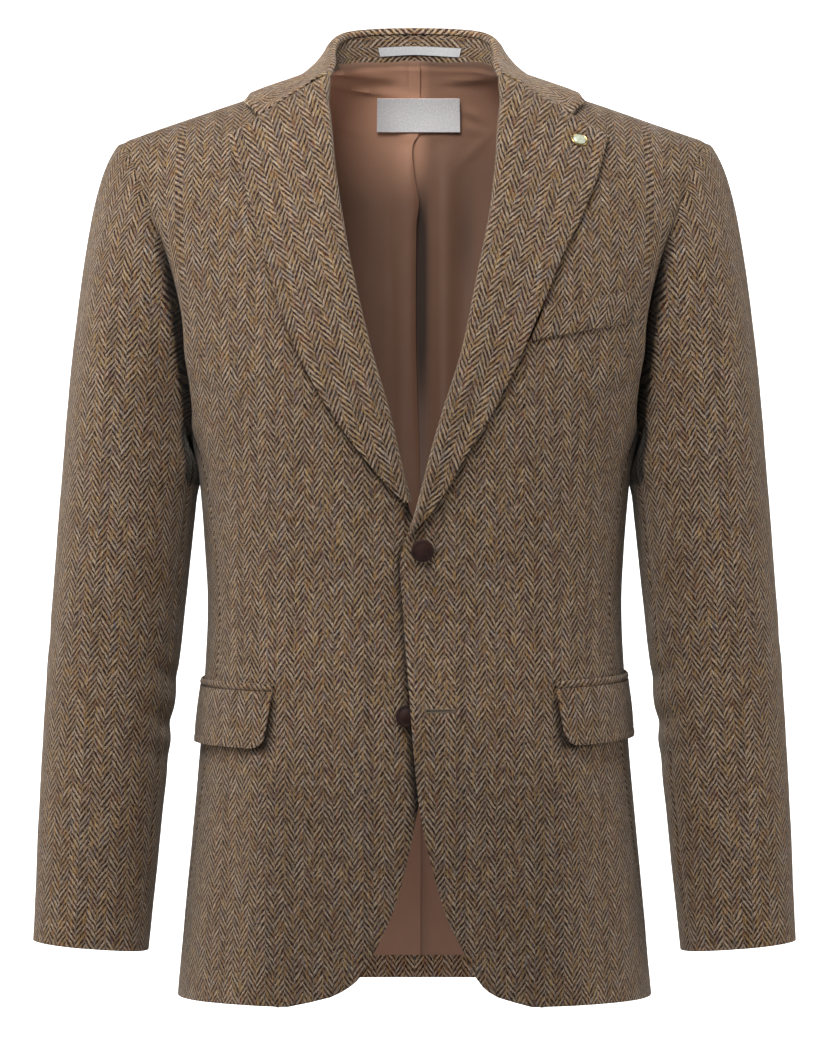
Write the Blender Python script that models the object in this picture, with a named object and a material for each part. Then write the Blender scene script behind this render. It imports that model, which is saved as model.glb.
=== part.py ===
"""A man's single-breasted tweed hacking jacket, in the hollow form it has when it is worn.

The front faces -Y and the wearer's left side is +X. The origin lies midway between the
neck points of the shoulder seams, where the wearer carries the jacket. Tables and sizes
are in millimetres, and "down" is the distance below the origin.
"""
import math

import bmesh
import bpy
from mathutils import Vector

MM = 0.001

# Cloth thicknesses and the spaces between layers
SEAM_GAP = 0.3
FRONT_CLOTH = 2.2
BACK_CLOTH = 2.0
SLEEVE_CLOTH = 2.0
LAPEL_CLOTH = 3.0
FLAP_CLOTH = 2.6
COLLAR_CLOTH = 2.2
COLLAR_GAP = 1.2
STAND_CLOTH = 1.8
LINING_CLOTH = 1.0
TAPE_CLOTH = 0.8

# The shoulders
NECK_X = 92.0
SHOULDER_SLOPE = 0.345
RIDGE_ROUNDING = 15.0
YOKE_DEPTH = 250.0
FRONT_YOKE_CURVE = 1.85
BACK_YOKE_CURVE = 3.0
NAPE_LIFT = 14.0
NAPE_WIDTH = 80.0

# The body's rings below the shoulders
RING_CURVE = 2.4
CENTRE_Y = 4.0
HEM_DOWN = 739.0
UNDERARM_DOWN = 285.0
ARMHOLE_DIP = 8.0

# down, half width, depth of the front, depth of the back
BODY = (
    (0.0, 258.0, 135.0, 122.0),
    (70.0, 240.0, 135.0, 122.0),
    (120.0, 224.0, 135.0, 122.0),
    (170.0, 209.0, 135.0, 122.0),
    (210.0, 201.0, 135.0, 122.0),
    (250.0, 192.5, 135.0, 122.0),
    (285.0, 184.0, 133.5, 119.0),
    (310.0, 176.5, 131.5, 116.0),
    (340.0, 172.7, 128.0, 111.0),
    (405.0, 168.1, 121.0, 103.0),
    (437.0, 167.7, 119.5, 102.0),
    (470.0, 169.3, 120.5, 106.0),
    (534.0, 173.2, 125.0, 116.0),
    (583.0, 177.2, 129.0, 123.0),
    (648.0, 183.5, 133.0, 129.0),
    (HEM_DOWN, 191.6, 137.0, 132.0),
)

# down, x of the armhole on the front, x of the armhole on the back
ARMHOLE = (
    (52.0, 235.5, 235.5),
    (59.0, 231.0, 233.0),
    (89.0, 219.5, 222.5),
    (119.0, 209.0, 212.0),
    (146.0, 200.5, 205.0),
    (191.0, 192.0, 196.0),
    (240.0, 186.5, 187.0),
    (285.0, 179.4, 174.8),
)

# down, the two seams of the side body as shares of the half width
SIDE_SEAMS = (
    (285.0, 0.975, 0.950),
    (330.0, 0.957, 0.935),
    (400.0, 0.935, 0.905),
    (485.0, 0.935, 0.875),
    (535.0, 0.958, 0.860),
    (640.0, 0.985, 0.832),
    (HEM_DOWN, 0.997, 0.810),
)

# down, x of the left front's inner edge: roll line, closing edge, cut-away skirt
LEFT_FRONT_EDGE = (
    (-8.0, 75.0),
    (0.0, 70.5),
    (14.0, 66.6),
    (45.4, 65.0),
    (106.6, 59.6),
    (143.7, 51.6),
    (197.6, 42.6),
    (246.4, 28.6),
    (303.6, 11.4),
    (345.2, 0.4),
    (369.5, -6.7),
    (386.8, -11.0),
    (417.3, -9.8),
    (502.8, -3.5),
    (542.8, -0.4),
    (591.4, 5.1),
    (629.0, 13.7),
    (669.0, 25.5),
    (694.1, 38.0),
    (711.3, 45.9),
    (718.4, 50.6),
    (724.7, 56.0),
    (731.0, 66.3),
    (HEM_DOWN, 92.9),
)

# the same for the right front, whose closing edge lies under the left one
RIGHT_FRONT_EDGE = (
    (-8.0, 75.0),
    (0.0, 70.5),
    (14.0, 66.8),
    (61.3, 62.4),
    (134.0, 52.4),
    (197.6, 38.1),
    (246.4, 27.0),
    (270.7, 18.4),
    (345.2, 0.6),
    (369.5, -10.0),
    (386.8, -20.0),
    (417.3, -21.0),
    (502.8, -16.5),
    (542.8, -11.0),
    (591.4, -1.2),
    (629.0, 6.7),
    (662.0, 16.1),
    (694.1, 31.0),
    (712.0, 41.2),
    (718.4, 45.9),
    (724.7, 54.5),
    (731.0, 67.0),
    (HEM_DOWN, 100.0),
)

# The rows of points down every panel
YOKE_LEVELS = (0.0, 0.09, 0.19, 0.30, 0.42, 0.55, 0.69, 0.84, 1.0)
BODY_DOWNS = (285.0, 320.0, 360.0, 405.0, 455.0, 505.0, 555.0, 605.0, 655.0,
              694.0, 711.5, 725.0, 732.5, HEM_DOWN)
FRONT_COLUMNS = 11
SIDE_COLUMNS = 4
BACK_COLUMNS = (0.0, 0.16, 0.32, 0.48, 0.64, 0.794, 0.87, 0.94, 1.0)
NECK_HALF_WIDTH = 75.0
NECK_DEPTH = 70.0

# Side vents: the back laps over an extension of the side body
VENT_TOP = 550.0
VENT_LAP = 30.0
VENT_INSET = 3.4

# The left front rides over the right one, and over the lower button
FRONT_LIFT = 3.1
BUTTON_LIFT = 6.8
BUTTON_X = 6.3
TOP_BUTTON_DOWN = 379.7
LOW_BUTTON_X = -5.9
LOW_BUTTON_DOWN = 510.6

# The sleeve's tube: down, outer x, inner x, half depth, y of its axis
SLEEVE = (
    (240.0, 278.6, 186.0, 70.0, 5.0),
    (300.0, 283.9, 182.0, 69.5, 4.0),
    (340.0, 287.1, 177.2, 68.0, 3.0),
    (372.0, 289.6, 179.8, 66.0, 2.0),
    (437.0, 294.4, 186.7, 62.0, -1.0),
    (502.0, 298.5, 193.2, 58.0, -5.0),
    (583.0, 302.5, 202.1, 52.0, -14.0),
    (648.0, 305.0, 208.6, 47.5, -22.0),
    (705.0, 307.0, 214.0, 45.0, -29.0),
)
SLEEVE_CURVE = 2.2
BICEPS_DOWN = 310.0
BICEPS_TILT = 50.0
CUFF_DOWN = 697.5
CUFF_TILT = 4.0
SLEEVE_ROWS = (0.0, 0.11, 0.22, 0.33, 0.43, 0.52, 0.61, 0.72, 0.86, 1.0)
CAP_ROWS = 6
ARMHOLE_GAP = 0.5
CAP_HANDLE = 20.0
UNDERARM_HANDLE = 7.0
CAP_FALL = 0.45
SLEEVE_SEAM_GAP = 0.65
FOREARM_SEAM = 9
HINDARM_SEAM = 15

# How far along the sleeve each crease lies (share), where it is deepest round the
# sleeve (degrees from the outside, 90 at the front), its width in both, and its depth
SLEEVE_CREASES = (
    (0.36, 150.0, 0.030, 42.0, 3.2),
    (0.47, 165.0, 0.028, 38.0, 3.6),
    (0.55, 140.0, 0.030, 45.0, 2.6),
    (0.20, 120.0, 0.040, 40.0, 2.4),
    (0.42, 250.0, 0.045, 40.0, 2.2),
)

# Lapels, from the gorge to the break: roll x, roll down, edge x, edge down
LEFT_LAPEL = (
    (71.0, 2.0, 153.2, 53.7),
    (66.0, 38.0, 143.9, 85.0),
    (63.3, 75.0, 132.3, 113.7),
    (58.6, 115.0, 116.1, 146.8),
    (48.6, 165.0, 99.3, 187.4),
    (36.9, 222.0, 81.8, 228.0),
    (22.2, 269.0, 60.5, 271.0),
    (12.2, 303.6, 40.5, 304.0),
    (1.4, 345.2, 19.0, 341.0),
    (-5.0, 366.0, 0.5, 364.0),
)
RIGHT_LAPEL = (
    (71.0, 2.0, 146.9, 53.3),
    (65.8, 38.0, 136.8, 83.4),
    (62.2, 75.0, 125.1, 121.1),
    (56.6, 114.0, 115.3, 153.9),
    (48.6, 158.0, 102.3, 196.2),
    (34.0, 220.0, 83.5, 239.0),
    (19.2, 270.7, 59.0, 280.0),
    (10.5, 308.0, 31.0, 317.0),
    (2.2, 341.0, 8.0, 342.5),
)
LAPEL_ROWS = 14
LAPEL_COLUMNS = 6
ROLL_AT_GORGE = 0.8
ROLL_AT_BREAK = 4.5
LAPEL_GAP = 1.6
GORGE_GAP = 0.8
LAPEL_TURNING = 1.2

# Collar sections from the centre back round to the gorge:
# fold x, y, z, then the leaf's middle x, y, z, then its edge x, y, z
COLLAR = (
    (0.0, 80.0, 48.5, 0.0, 90.0, 34.0, 0.0, 94.0, 5.0),
    (32.0, 76.5, 47.5, 37.0, 86.0, 33.0, 42.0, 91.0, 1.0),
    (56.0, 60.0, 43.5, 67.0, 70.0, 23.0, 84.0, 77.0, -3.0),
    (67.0, 36.0, 35.5, 78.0, 42.0, 11.0, 112.0, 50.0, -9.0),
    (69.5, 14.0, 25.0, 82.0, 16.0, 4.0, 128.0, 18.0, -12.0),
    (69.0, -5.0, 15.5, 84.0, -6.0, -1.0, 133.0, -8.0, -14.0),
)
# The collar's front end: fold, gorge corner and leaf corner, each x and down
COLLAR_END = ((71.0, 0.5), (121.8, 33.2), (134.7, 22.2))
COLLAR_END_LIFT = 4.6
COLLAR_SHARES = (0.0, 0.18, 0.36, 0.54, 0.72, 0.86, 1.0)
COLLAR_STEPS_A_SECTION = 2
FOLD_WIDTH = 3.2
FOLD_DROP = 1.2
STAND_END = 4.9
STAND_TOP_DROP = 2.0
STAND_OUTER_INSET = 1.0

# Hip pockets: the wearer's side, front end x, top of the flap, rise towards the back
POCKETS = (
    ("left", 1, 111.0, 489.8, 7.0),
    ("right", -1, 111.0, 492.3, 4.0),
)
POCKET_GAP = 0.8
FLAP_SPRING = 1.8
WELT_CLOTH = 2.2
FLAP_DEPTH = 45.0
FLAP_SLANT = 7.0
FLAP_CORNER = 10.0
FLAP_BACK_SHARE = 0.955
FLAP_ROWS = (0.0, 0.3, 0.6, 0.79, 0.9, 0.965, 1.0)
FLAP_COLUMNS = 8
JET_HEIGHT = 6.2
JET_CROWN = 1.2

# Chest welt corners, each x and down
WELT_INNER_TOP = (101.5, 188.8)
WELT_OUTER_TOP = (172.6, 173.7)
WELT_INNER_FOOT = (89.6, 216.0)
WELT_OUTER_FOOT = (168.9, 199.9)

BUTTON_RADIUS = 9.0
# radius as a share of the button's, height above the cloth
BUTTON_PROFILE = (
    (0.00, 0.4),
    (0.24, 0.4),
    (0.24, 1.6),
    (0.80, 2.0),
    (0.97, 2.9),
    (1.00, 3.9),
    (0.93, 4.9),
    (0.70, 5.6),
    (0.38, 5.9),
    (0.00, 6.0),
)
BUTTON_SIDES = 20

PIN_X = 129.8
PIN_DOWN = 56.5
PIN_RADIUS = 7.0
PIN_ASPECT = 0.9
PIN_PROFILE = (
    (0.00, 0.3),
    (0.96, 0.3),
    (1.00, 1.0),
    (0.94, 1.7),
    (0.78, 1.4),
    (0.45, 2.2),
    (0.00, 2.5),
)

# Neck label and hanger tape: left and right x, and the label's rows on the lining
LABEL_SPAN = (-32.0, 38.7)
LABEL_ROWS = (1.64, 2.4, 3.16)
LABEL_GAP = 0.6
TAPE_SPAN = (-32.0, 41.5)
TAPE_SHARES = (0.28, 0.55)
TAPE_GAP = 0.6

# Back lining: its centre pleat lies a little to the left of the centre
LINING_GAP = 0.6
LINING_FOOT = 720.0
LINING_COLUMNS = BACK_COLUMNS[3:]
PLEAT_X = 3.5
PLEAT_LAP = 7.5
PLEAT_WIDTH = 18.0
PLEAT_DEPTH = 5.0
PLEAT_TOP = 45.0
PLEAT_FOOT = 630.0
PLEAT_STEP = 1.6

TWEED = ((0.115, 0.080, 0.055), 0.92)
TWEED_DARK = ((0.100, 0.068, 0.046), 0.92)
LINING_CLOTH_COLOUR = ((0.165, 0.080, 0.055), 0.45)
LEATHER = ((0.045, 0.026, 0.018), 0.5)
PEARL = ((0.50, 0.52, 0.38), 0.3)
LABEL_WHITE = ((0.60, 0.59, 0.60), 0.7)


def read(rows, key, column):
    """One column of a table, on a smooth curve through its rows."""
    keys = [row[0] for row in rows]
    key = min(max(key, keys[0]), keys[-1])
    i = max(n for n in range(len(rows) - 1) if keys[n] <= key)

    def slope(n):
        before = max(n - 1, 0)
        after = min(n + 1, len(rows) - 1)
        return (rows[after][column] - rows[before][column]) / (keys[after] - keys[before])

    span = keys[i + 1] - keys[i]
    t = (key - keys[i]) / span
    start = rows[i][column]
    end = rows[i + 1][column]
    bend = 3 * t * t - 2 * t * t * t
    lead = (t ** 3 - 2 * t ** 2 + t) * slope(i) * span
    trail = (t ** 3 - t ** 2) * slope(i + 1) * span
    return start * (1 - bend) + end * bend + lead + trail


def through(points, position):
    """A point on the smooth curve through a list of points, by index."""
    rows = [(n, *point) for n, point in enumerate(points)]
    return Vector(read(rows, position, column) for column in range(1, len(rows[0])))


def ramp(value, start, end):
    """0 below start, 1 above end and an S curve between."""
    t = min(max((value - start) / (end - start), 0.0), 1.0)
    return t * t * (3 - 2 * t)


def bump(value, centre, width):
    return math.exp(-((value - centre) / width) ** 2)


def power(value, exponent):
    return math.copysign(abs(value) ** exponent, value)


def mix(a, b, share):
    return a * (1 - share) + b * share


# The body surface. An angle runs from 0 at the centre front through a quarter turn at
# the side to a half turn at the centre back. A level is 0 on the shoulder ridge, 1 at
# the foot of the yoke and 2 at the hem.

def body_level(down):
    return 1 + (down - YOKE_DEPTH) / (HEM_DOWN - YOKE_DEPTH)


def ridge(x):
    """Height of the shoulder ridge."""
    return -SHOULDER_SLOPE * (math.hypot(x, RIDGE_ROUNDING) - NECK_X)


def ring(level, front):
    """Drop below the ridge, reach from the centre and share of the ridge's slope."""
    if level >= 1:
        return YOKE_DEPTH + (level - 1) * (HEM_DOWN - YOKE_DEPTH), 1.0, 0.0
    lean = level * math.pi / 2
    curve = 2 / (FRONT_YOKE_CURVE if front else BACK_YOKE_CURVE)
    drop = YOKE_DEPTH * (1 - math.cos(lean) ** curve)
    return drop, math.sin(lean) ** curve, math.cos(lean)


def body(angle, level):
    """A point on the outer face of the body's cloth, on the wearer's left."""
    front = angle < math.pi / 2
    turn = angle if front else math.pi - angle
    drop, reach, sloping = ring(level, front)
    x = read(BODY, drop, 1) * power(math.sin(turn), 2 / RING_CURVE)
    depth = read(BODY, drop, 2 if front else 3) * reach
    y = depth * power(math.cos(turn), 2 / RING_CURVE)
    z = ridge(x) * sloping - drop
    if not front:
        z += NAPE_LIFT * bump(x, 0, NAPE_WIDTH) * ramp(reach, 0.0, 0.5) * sloping ** 2
    return Vector((x, CENTRE_Y - y if front else CENTRE_Y + y, z))


def body_normal(angle, level):
    if level == 0:
        return Vector((SHOULDER_SLOPE, 0, 1)).normalized()
    level = max(level, 0.03)
    around = body(angle + 0.02, level) - body(angle - 0.02, level)
    down = body(angle, level + 0.01) - body(angle, level - 0.01)
    return down.cross(around).normalized()


def angle_at(x, level, front=True):
    """The angle whose point on this level has this x."""
    drop = ring(level, front)[0]
    share = min(max(x / read(BODY, drop, 1), -1.0), 1.0)
    turn = math.asin(power(share, RING_CURVE / 2))
    return turn if front else math.pi - turn


def edge_angle(level, rows, column, front=True):
    """The angle of an edge whose x is given by how far down it is."""
    x = rows[0][column]
    for _ in range(8):
        point = body(angle_at(x, level, front), level)
        x = read(rows, -point.z, column)
    return angle_at(x, level, front)


def step_round(angle, level, distance):
    """Moves an angle by a short distance along the cloth."""
    speed = (body(angle + 0.01, level) - body(angle - 0.01, level)).length / 0.02
    return angle + distance / speed


def find_level(x, goal, axis, front, sign):
    """The level at which the point with this x reaches the goal along an axis."""
    low, high = 0.0, 2.0
    for _ in range(36):
        level = (low + high) / 2
        value = body(angle_at(x, level, front), level)[axis]
        if (value - goal) * sign < 0:
            low = level
        else:
            high = level
    return level


def place(x, down, front=True):
    """The body's point and normal at an x and a distance down."""
    level = find_level(x, -down, 2, front, -1)
    angle = angle_at(x, level, front)
    return body(angle, level), body_normal(angle, level)


def height_over(x, y):
    """Height of the shoulder surface above a point of the floor plan."""
    front = y < CENTRE_Y
    level = find_level(x, y, 1, front, -1 if front else 1)
    return body(angle_at(x, level, front), level).z


def front_lift(x, down):
    """How far the left front stands out to clear the right one and the lower button."""
    along = ramp(down, 285, 335) * (1 - ramp(down, 600, 700))
    over_button = BUTTON_LIFT * bump(down, LOW_BUTTON_DOWN, 45) * (1 - ramp(x, 8, 70))
    return FRONT_LIFT * along * (1 - ramp(x, 24, 75)) + over_button


def front_seam_angle(level, down):
    if down <= UNDERARM_DOWN:
        return edge_angle(level, ARMHOLE, 1)
    share = read(SIDE_SEAMS, down, 1)
    return math.asin(share ** (RING_CURVE / 2))


def back_seam_angle(level, down):
    if down <= UNDERARM_DOWN:
        return edge_angle(level, ARMHOLE, 2, front=False)
    share = read(SIDE_SEAMS, down, 2)
    return math.pi - math.asin(share ** (RING_CURVE / 2))


def yoke_down(level):
    """Rough distance down of a row on the yoke."""
    return level * YOKE_DEPTH * 0.9


def panel_levels():
    """Level and distance down of every row of a front or back."""
    upper = [(level, yoke_down(level)) for level in YOKE_LEVELS]
    return upper + [(body_level(down), down) for down in BODY_DOWNS]


# Making the solids

def material(name, look):
    colour, roughness = look
    made = bpy.data.materials.new(name)
    made.use_nodes = True
    shader = made.node_tree.nodes["Principled BSDF"]
    shader.inputs["Base Color"].default_value = (*colour, 1.0)
    shader.inputs["Roughness"].default_value = roughness
    made.diffuse_color = (*colour, 1.0)
    return made


def keep(name, mesh_build, look):
    """Turns a bmesh in millimetres into a named object in metres."""
    bmesh.ops.recalc_face_normals(mesh_build, faces=mesh_build.faces)
    bmesh.ops.scale(mesh_build, vec=Vector((MM, MM, MM)), verts=mesh_build.verts)
    mesh = bpy.data.meshes.new(name)
    mesh_build.to_mesh(mesh)
    mesh_build.free()
    mesh.shade_smooth()
    mesh.set_sharp_from_angle(angle=math.radians(40))
    mesh.materials.append(material(name, look))
    made = bpy.data.objects.new(name, mesh)
    bpy.context.collection.objects.link(made)
    return made


def cloth(name, outer, inner, look, present=None):
    """A closed wall between two grids of points. present(row, column) keeps a cell."""
    wall = bmesh.new()
    rows = len(outer)
    columns = len(outer[0])
    faces = [[[None] * columns for _ in range(rows)] for _ in range(2)]

    def corner(side, r, c):
        if faces[side][r][c] is None:
            faces[side][r][c] = wall.verts.new((outer, inner)[side][r][c])
        return faces[side][r][c]

    def there(r, c):
        inside = 0 <= r < rows - 1 and 0 <= c < columns - 1
        return inside and (present is None or present(r, c))

    for r in range(rows - 1):
        for c in range(columns - 1):
            if not there(r, c):
                continue
            loop = ((r, c), (r, c + 1), (r + 1, c + 1), (r + 1, c))
            for three in (loop[:3], (loop[0], *loop[2:])):
                wall.faces.new([corner(0, *spot) for spot in three])
                wall.faces.new([corner(1, *spot) for spot in reversed(three)])
            beside = ((r - 1, c), (r, c + 1), (r + 1, c), (r, c - 1))
            for n, neighbour in enumerate(beside):
                if there(*neighbour):
                    continue
                a = loop[n]
                b = loop[(n + 1) % 4]
                wall.faces.new([corner(0, *b), corner(0, *a), corner(1, *a), corner(1, *b)])
    return keep(name, wall, look)


def mirrored(grid, side):
    return [[Vector((point.x * side, point.y, point.z)) for point in row] for row in grid]


def lay(grid, side, name, thickness, look, present=None):
    """Cloth from a grid of (outer point, normal) on the wearer's left, or mirrored."""
    outer = [[point for point, _ in row] for row in grid]
    inner = [[point - normal * thickness for point, normal in row] for row in grid]
    return cloth(name, mirrored(outer, side), mirrored(inner, side), look, present)


def grid_normals(grid):
    """Normals of a grid of points from its neighbours. Its columns close in a ring."""
    rows = len(grid)
    columns = len(grid[0])
    normals = []
    for r in range(rows):
        line = []
        for c in range(columns):
            around = grid[r][(c + 1) % columns] - grid[r][(c - 1) % columns]
            down = grid[min(r + 1, rows - 1)][c] - grid[max(r - 1, 0)][c]
            line.append(around.cross(down).normalized())
        normals.append(line)
    return normals


def turned(name, profile, radius, point, normal, look, aspect=1.0):
    """A round piece standing on a point of the cloth, from a turned profile."""
    made = bmesh.new()
    line = [made.verts.new((share * radius, 0, height)) for share, height in profile]
    edges = [made.edges.new((a, b)) for a, b in zip(line, line[1:])]
    bmesh.ops.spin(made, geom=line + edges, cent=(0, 0, 0), axis=(0, 0, 1), dvec=(0, 0, 0),
                   angle=math.tau, steps=BUTTON_SIDES, use_merge=True)
    bmesh.ops.remove_doubles(made, verts=made.verts, dist=0.01)
    bmesh.ops.scale(made, vec=Vector((1, aspect, 1)), verts=made.verts)
    facing = normal.to_track_quat("Z", "Y").to_matrix()
    bmesh.ops.rotate(made, cent=(0, 0, 0), matrix=facing, verts=made.verts)
    bmesh.ops.translate(made, vec=point, verts=made.verts)
    return keep(name, made, look)


# The body's panels

def front_panel(name, side, edge_rows):
    grid = []
    for row, (level, down) in enumerate(panel_levels()):
        inner_edge = edge_angle(level, edge_rows, 1)
        outer_edge = front_seam_angle(level, down)
        if down > UNDERARM_DOWN:
            outer_edge = step_round(outer_edge, level, -SEAM_GAP / 2)
        line = []
        for column in range(FRONT_COLUMNS + 1):
            angle = mix(inner_edge, outer_edge, column / FRONT_COLUMNS)
            point = body(angle, level)
            normal = body_normal(angle, level)
            if side > 0:
                point += normal * front_lift(point.x, -point.z)
            if row == 0:
                point.y -= SEAM_GAP / 2
            line.append((point, normal))
        grid.append(line)
    lay(grid, side, name, FRONT_CLOTH, TWEED)


def underarm_line():
    """The foot of the armhole, along the top of the side body."""
    level = body_level(UNDERARM_DOWN)
    start = step_round(front_seam_angle(level, UNDERARM_DOWN), level, SEAM_GAP / 2)
    end = step_round(back_seam_angle(level, UNDERARM_DOWN), level, -SEAM_GAP / 2)
    line = []
    for column in range(SIDE_COLUMNS + 1):
        share = column / SIDE_COLUMNS
        dipped = body_level(UNDERARM_DOWN + ARMHOLE_DIP * math.sin(math.pi * share))
        line.append((mix(start, end, share), dipped))
    return line


def side_panel(name, side):
    rows = [(body_level(down), down) for down in BODY_DOWNS]
    grid = []
    for row, (level, down) in enumerate(rows):
        start = step_round(front_seam_angle(level, down), level, SEAM_GAP / 2)
        end = step_round(back_seam_angle(level, down), level, -SEAM_GAP / 2)
        tucked = ramp(down, VENT_TOP - 45, VENT_TOP)
        line = []
        for column in range(SIDE_COLUMNS + 3):
            if column <= SIDE_COLUMNS:
                angle = mix(start, end, column / SIDE_COLUMNS)
            else:
                angle = step_round(end, level, VENT_LAP * (column - SIDE_COLUMNS) / 2)
            here = level
            if row == 0 and column <= SIDE_COLUMNS:
                angle, here = underarm_line()[column]
            normal = body_normal(angle, here)
            inset = VENT_INSET * tucked if column >= SIDE_COLUMNS else 0.0
            line.append((body(angle, here) - normal * inset, normal))
        grid.append(line)

    def present(r, c):
        return c < SIDE_COLUMNS or rows[r][1] >= VENT_TOP

    lay(grid, side, name, BACK_CLOTH, TWEED, present)


def neckline_level(angle_share):
    """Top level of a back column: on the shoulder seam, or lower along the neckline."""
    armhole = edge_angle(0.0, ARMHOLE, 2, front=False)
    if body(mix(armhole, math.pi, angle_share), 0.0).x > NECK_HALF_WIDTH:
        return 0.0
    low, high = 0.0, 1.0
    for _ in range(30):
        level = (low + high) / 2
        point = body(back_angle(angle_share, level, yoke_down(level)), level)
        across = point.x / NECK_HALF_WIDTH
        along = (point.y - CENTRE_Y) / NECK_DEPTH
        if across * across + along * along < 1:
            low = level
        else:
            high = level
    return level


def back_angle(share, level, down, inset=0.0):
    seam = back_seam_angle(level, down)
    if down > UNDERARM_DOWN:
        seam = step_round(seam, level, inset)
    return mix(seam, math.pi, share)


def back_grid(shares, rows):
    """Points and normals of a back, its upper rows spread between its top and the yoke."""
    tops = [neckline_level(share) for share in shares]
    grid = []
    for level, down in rows:
        line = []
        for share, top in zip(shares, tops):
            here = top + level * (1 - top) if level < 1 else level
            angle = back_angle(share, here, down, SEAM_GAP / 2)
            normal = body_normal(min(angle, math.pi - 0.02), here)
            if share == 1:
                normal.x = 0.0
            line.append((body(angle, here), normal))
        grid.append(line)
    for point, _ in grid[0]:
        point.y += SEAM_GAP / 2
    return grid


def back_panel(name, side):
    grid = back_grid(BACK_COLUMNS, panel_levels())
    for line in grid:
        line[-1][0].x = SEAM_GAP / 2
    lay(grid, side, name, BACK_CLOTH, TWEED)


# The sleeves

def armhole_spots():
    """Angle and level round the armhole: down the front, under the arm, up the back."""
    rows = [entry for entry in panel_levels() if entry[1] <= UNDERARM_DOWN]
    front = [(front_seam_angle(level, down), level) for level, down in rows]
    back = [(back_seam_angle(level, down), level) for level, down in rows]
    return front + underarm_line()[1:-1] + back[:0:-1]


def loop_turns(loop):
    """How far round the sleeve each point of the armhole leads, by its length."""
    lowest = len(loop) // 2
    lengths = [0.0]
    for n in range(len(loop)):
        lengths.append(lengths[-1] + (loop[(n + 1) % len(loop)] - loop[n]).length)
    turns = []
    for n in range(len(loop)):
        if n <= lowest:
            turns.append(math.pi * lengths[n] / lengths[lowest])
        else:
            rest = (lengths[n] - lengths[lowest]) / (lengths[-1] - lengths[lowest])
            turns.append(math.pi * (1 + rest))
    return turns


def sleeve_tube(turn, down):
    outer = read(SLEEVE, down, 1)
    inner = read(SLEEVE, down, 2)
    half_depth = read(SLEEVE, down, 3)
    across = power(math.cos(turn), 2 / SLEEVE_CURVE) * (outer - inner) / 2
    along = power(math.sin(turn), 2 / SLEEVE_CURVE) * half_depth
    return Vector(((outer + inner) / 2 + across, read(SLEEVE, down, 4) - along, -down))


def crease_depth(share, turn):
    total = 0.0
    for place_along, degrees, length, width, depth in SLEEVE_CREASES:
        swing = (math.degrees(turn) - degrees + 180) % 360 - 180
        total += depth * bump(share, place_along, length) * bump(swing, 0, width)
    return total


def sleeve_down(turn, share):
    start = BICEPS_DOWN - BICEPS_TILT * math.cos(turn)
    end = CUFF_DOWN - CUFF_TILT * math.cos(turn)
    return mix(start, end, share)


def sleeve_cap(start, turn, share):
    """From the armhole out over the arm and down into the tube."""
    top_share = (1 + math.cos(turn)) / 2
    out = Vector((1, -0.15 * math.sin(turn), -CAP_FALL * top_share)).normalized()
    first = start + out * ARMHOLE_GAP
    end_down = sleeve_down(turn, 0)
    end = sleeve_tube(turn, end_down)
    falling = (sleeve_tube(turn, end_down + 5) - end).normalized()
    second = first + out * mix(UNDERARM_HANDLE, CAP_HANDLE, top_share)
    third = end - falling * mix(48, 140, top_share)
    keeping = 1 - share
    return (first * keeping ** 3 + second * 3 * keeping ** 2 * share
            + third * 3 * keeping * share ** 2 + end * share ** 3)


def sleeve_grid(loop, turns):
    grid = []
    for row in range(CAP_ROWS):
        grid.append([sleeve_cap(loop[n], turns[n], row / CAP_ROWS) for n in range(len(loop))])
    for share in SLEEVE_ROWS:
        line = []
        for turn in turns:
            point = sleeve_tube(turn, sleeve_down(turn, share))
            centre = Vector((245.0, point.y * 0.2, point.z))
            inwards = (centre - point).normalized()
            line.append(point + inwards * crease_depth(share, turn))
        grid.append(line)
    return grid


def sleeve(name, side, grid, normals, columns, look):
    """One piece of the two-piece sleeve, over a run of the ring's columns."""
    count = len(grid[0])
    outer = []
    inner = []
    for line, facing in zip(grid, normals):
        run = [line[c % count].copy() for c in columns]
        towards = (run[1] - run[0]).normalized()
        run[0] += towards * SLEEVE_SEAM_GAP / 2
        towards = (run[-2] - run[-1]).normalized()
        run[-1] += towards * SLEEVE_SEAM_GAP / 2
        outer.append(run)
        inner.append([point - facing[c % count] * SLEEVE_CLOTH
                      for point, c in zip(run, columns)])
    cloth(name, mirrored(outer, side), mirrored(inner, side), look)


def sleeves():
    spots = armhole_spots()
    loop = [body(angle, level) for angle, level in spots]
    turns = loop_turns(loop)
    grid = sleeve_grid(loop, turns)
    normals = grid_normals(grid)
    for n, (angle, level) in enumerate(spots):
        over_shoulder = ramp(math.cos(turns[n]), -0.3, 0.3)
        normals[0][n] = normals[0][n].lerp(body_normal(angle, level), over_shoulder)
    count = len(grid[0])
    for name, side in (("left", 1), ("right", -1)):
        top = range(HINDARM_SEAM, count + FOREARM_SEAM + 1)
        under = range(FOREARM_SEAM, HINDARM_SEAM + 1)
        sleeve("top_sleeve_" + name, side, grid, normals, top, TWEED)
        sleeve("under_sleeve_" + name, side, grid, normals, under, TWEED_DARK)


# Lapels and collar

def lapel_lift(across, along, thickness):
    """Height of the lapel's outer face over the front, with its soft roll."""
    roll = mix(ROLL_AT_GORGE, ROLL_AT_BREAK, along)
    gap = LAPEL_GAP + GORGE_GAP * (1 - along)
    turning = LAPEL_TURNING * ramp(along, 0.2, 0.35) * (1 - ramp(across, 0.0, 0.12))
    rising = roll * bump(across, 0.22, 0.26) * ramp(across, -0.05, 0.15)
    return gap + thickness + rising - turning


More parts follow.
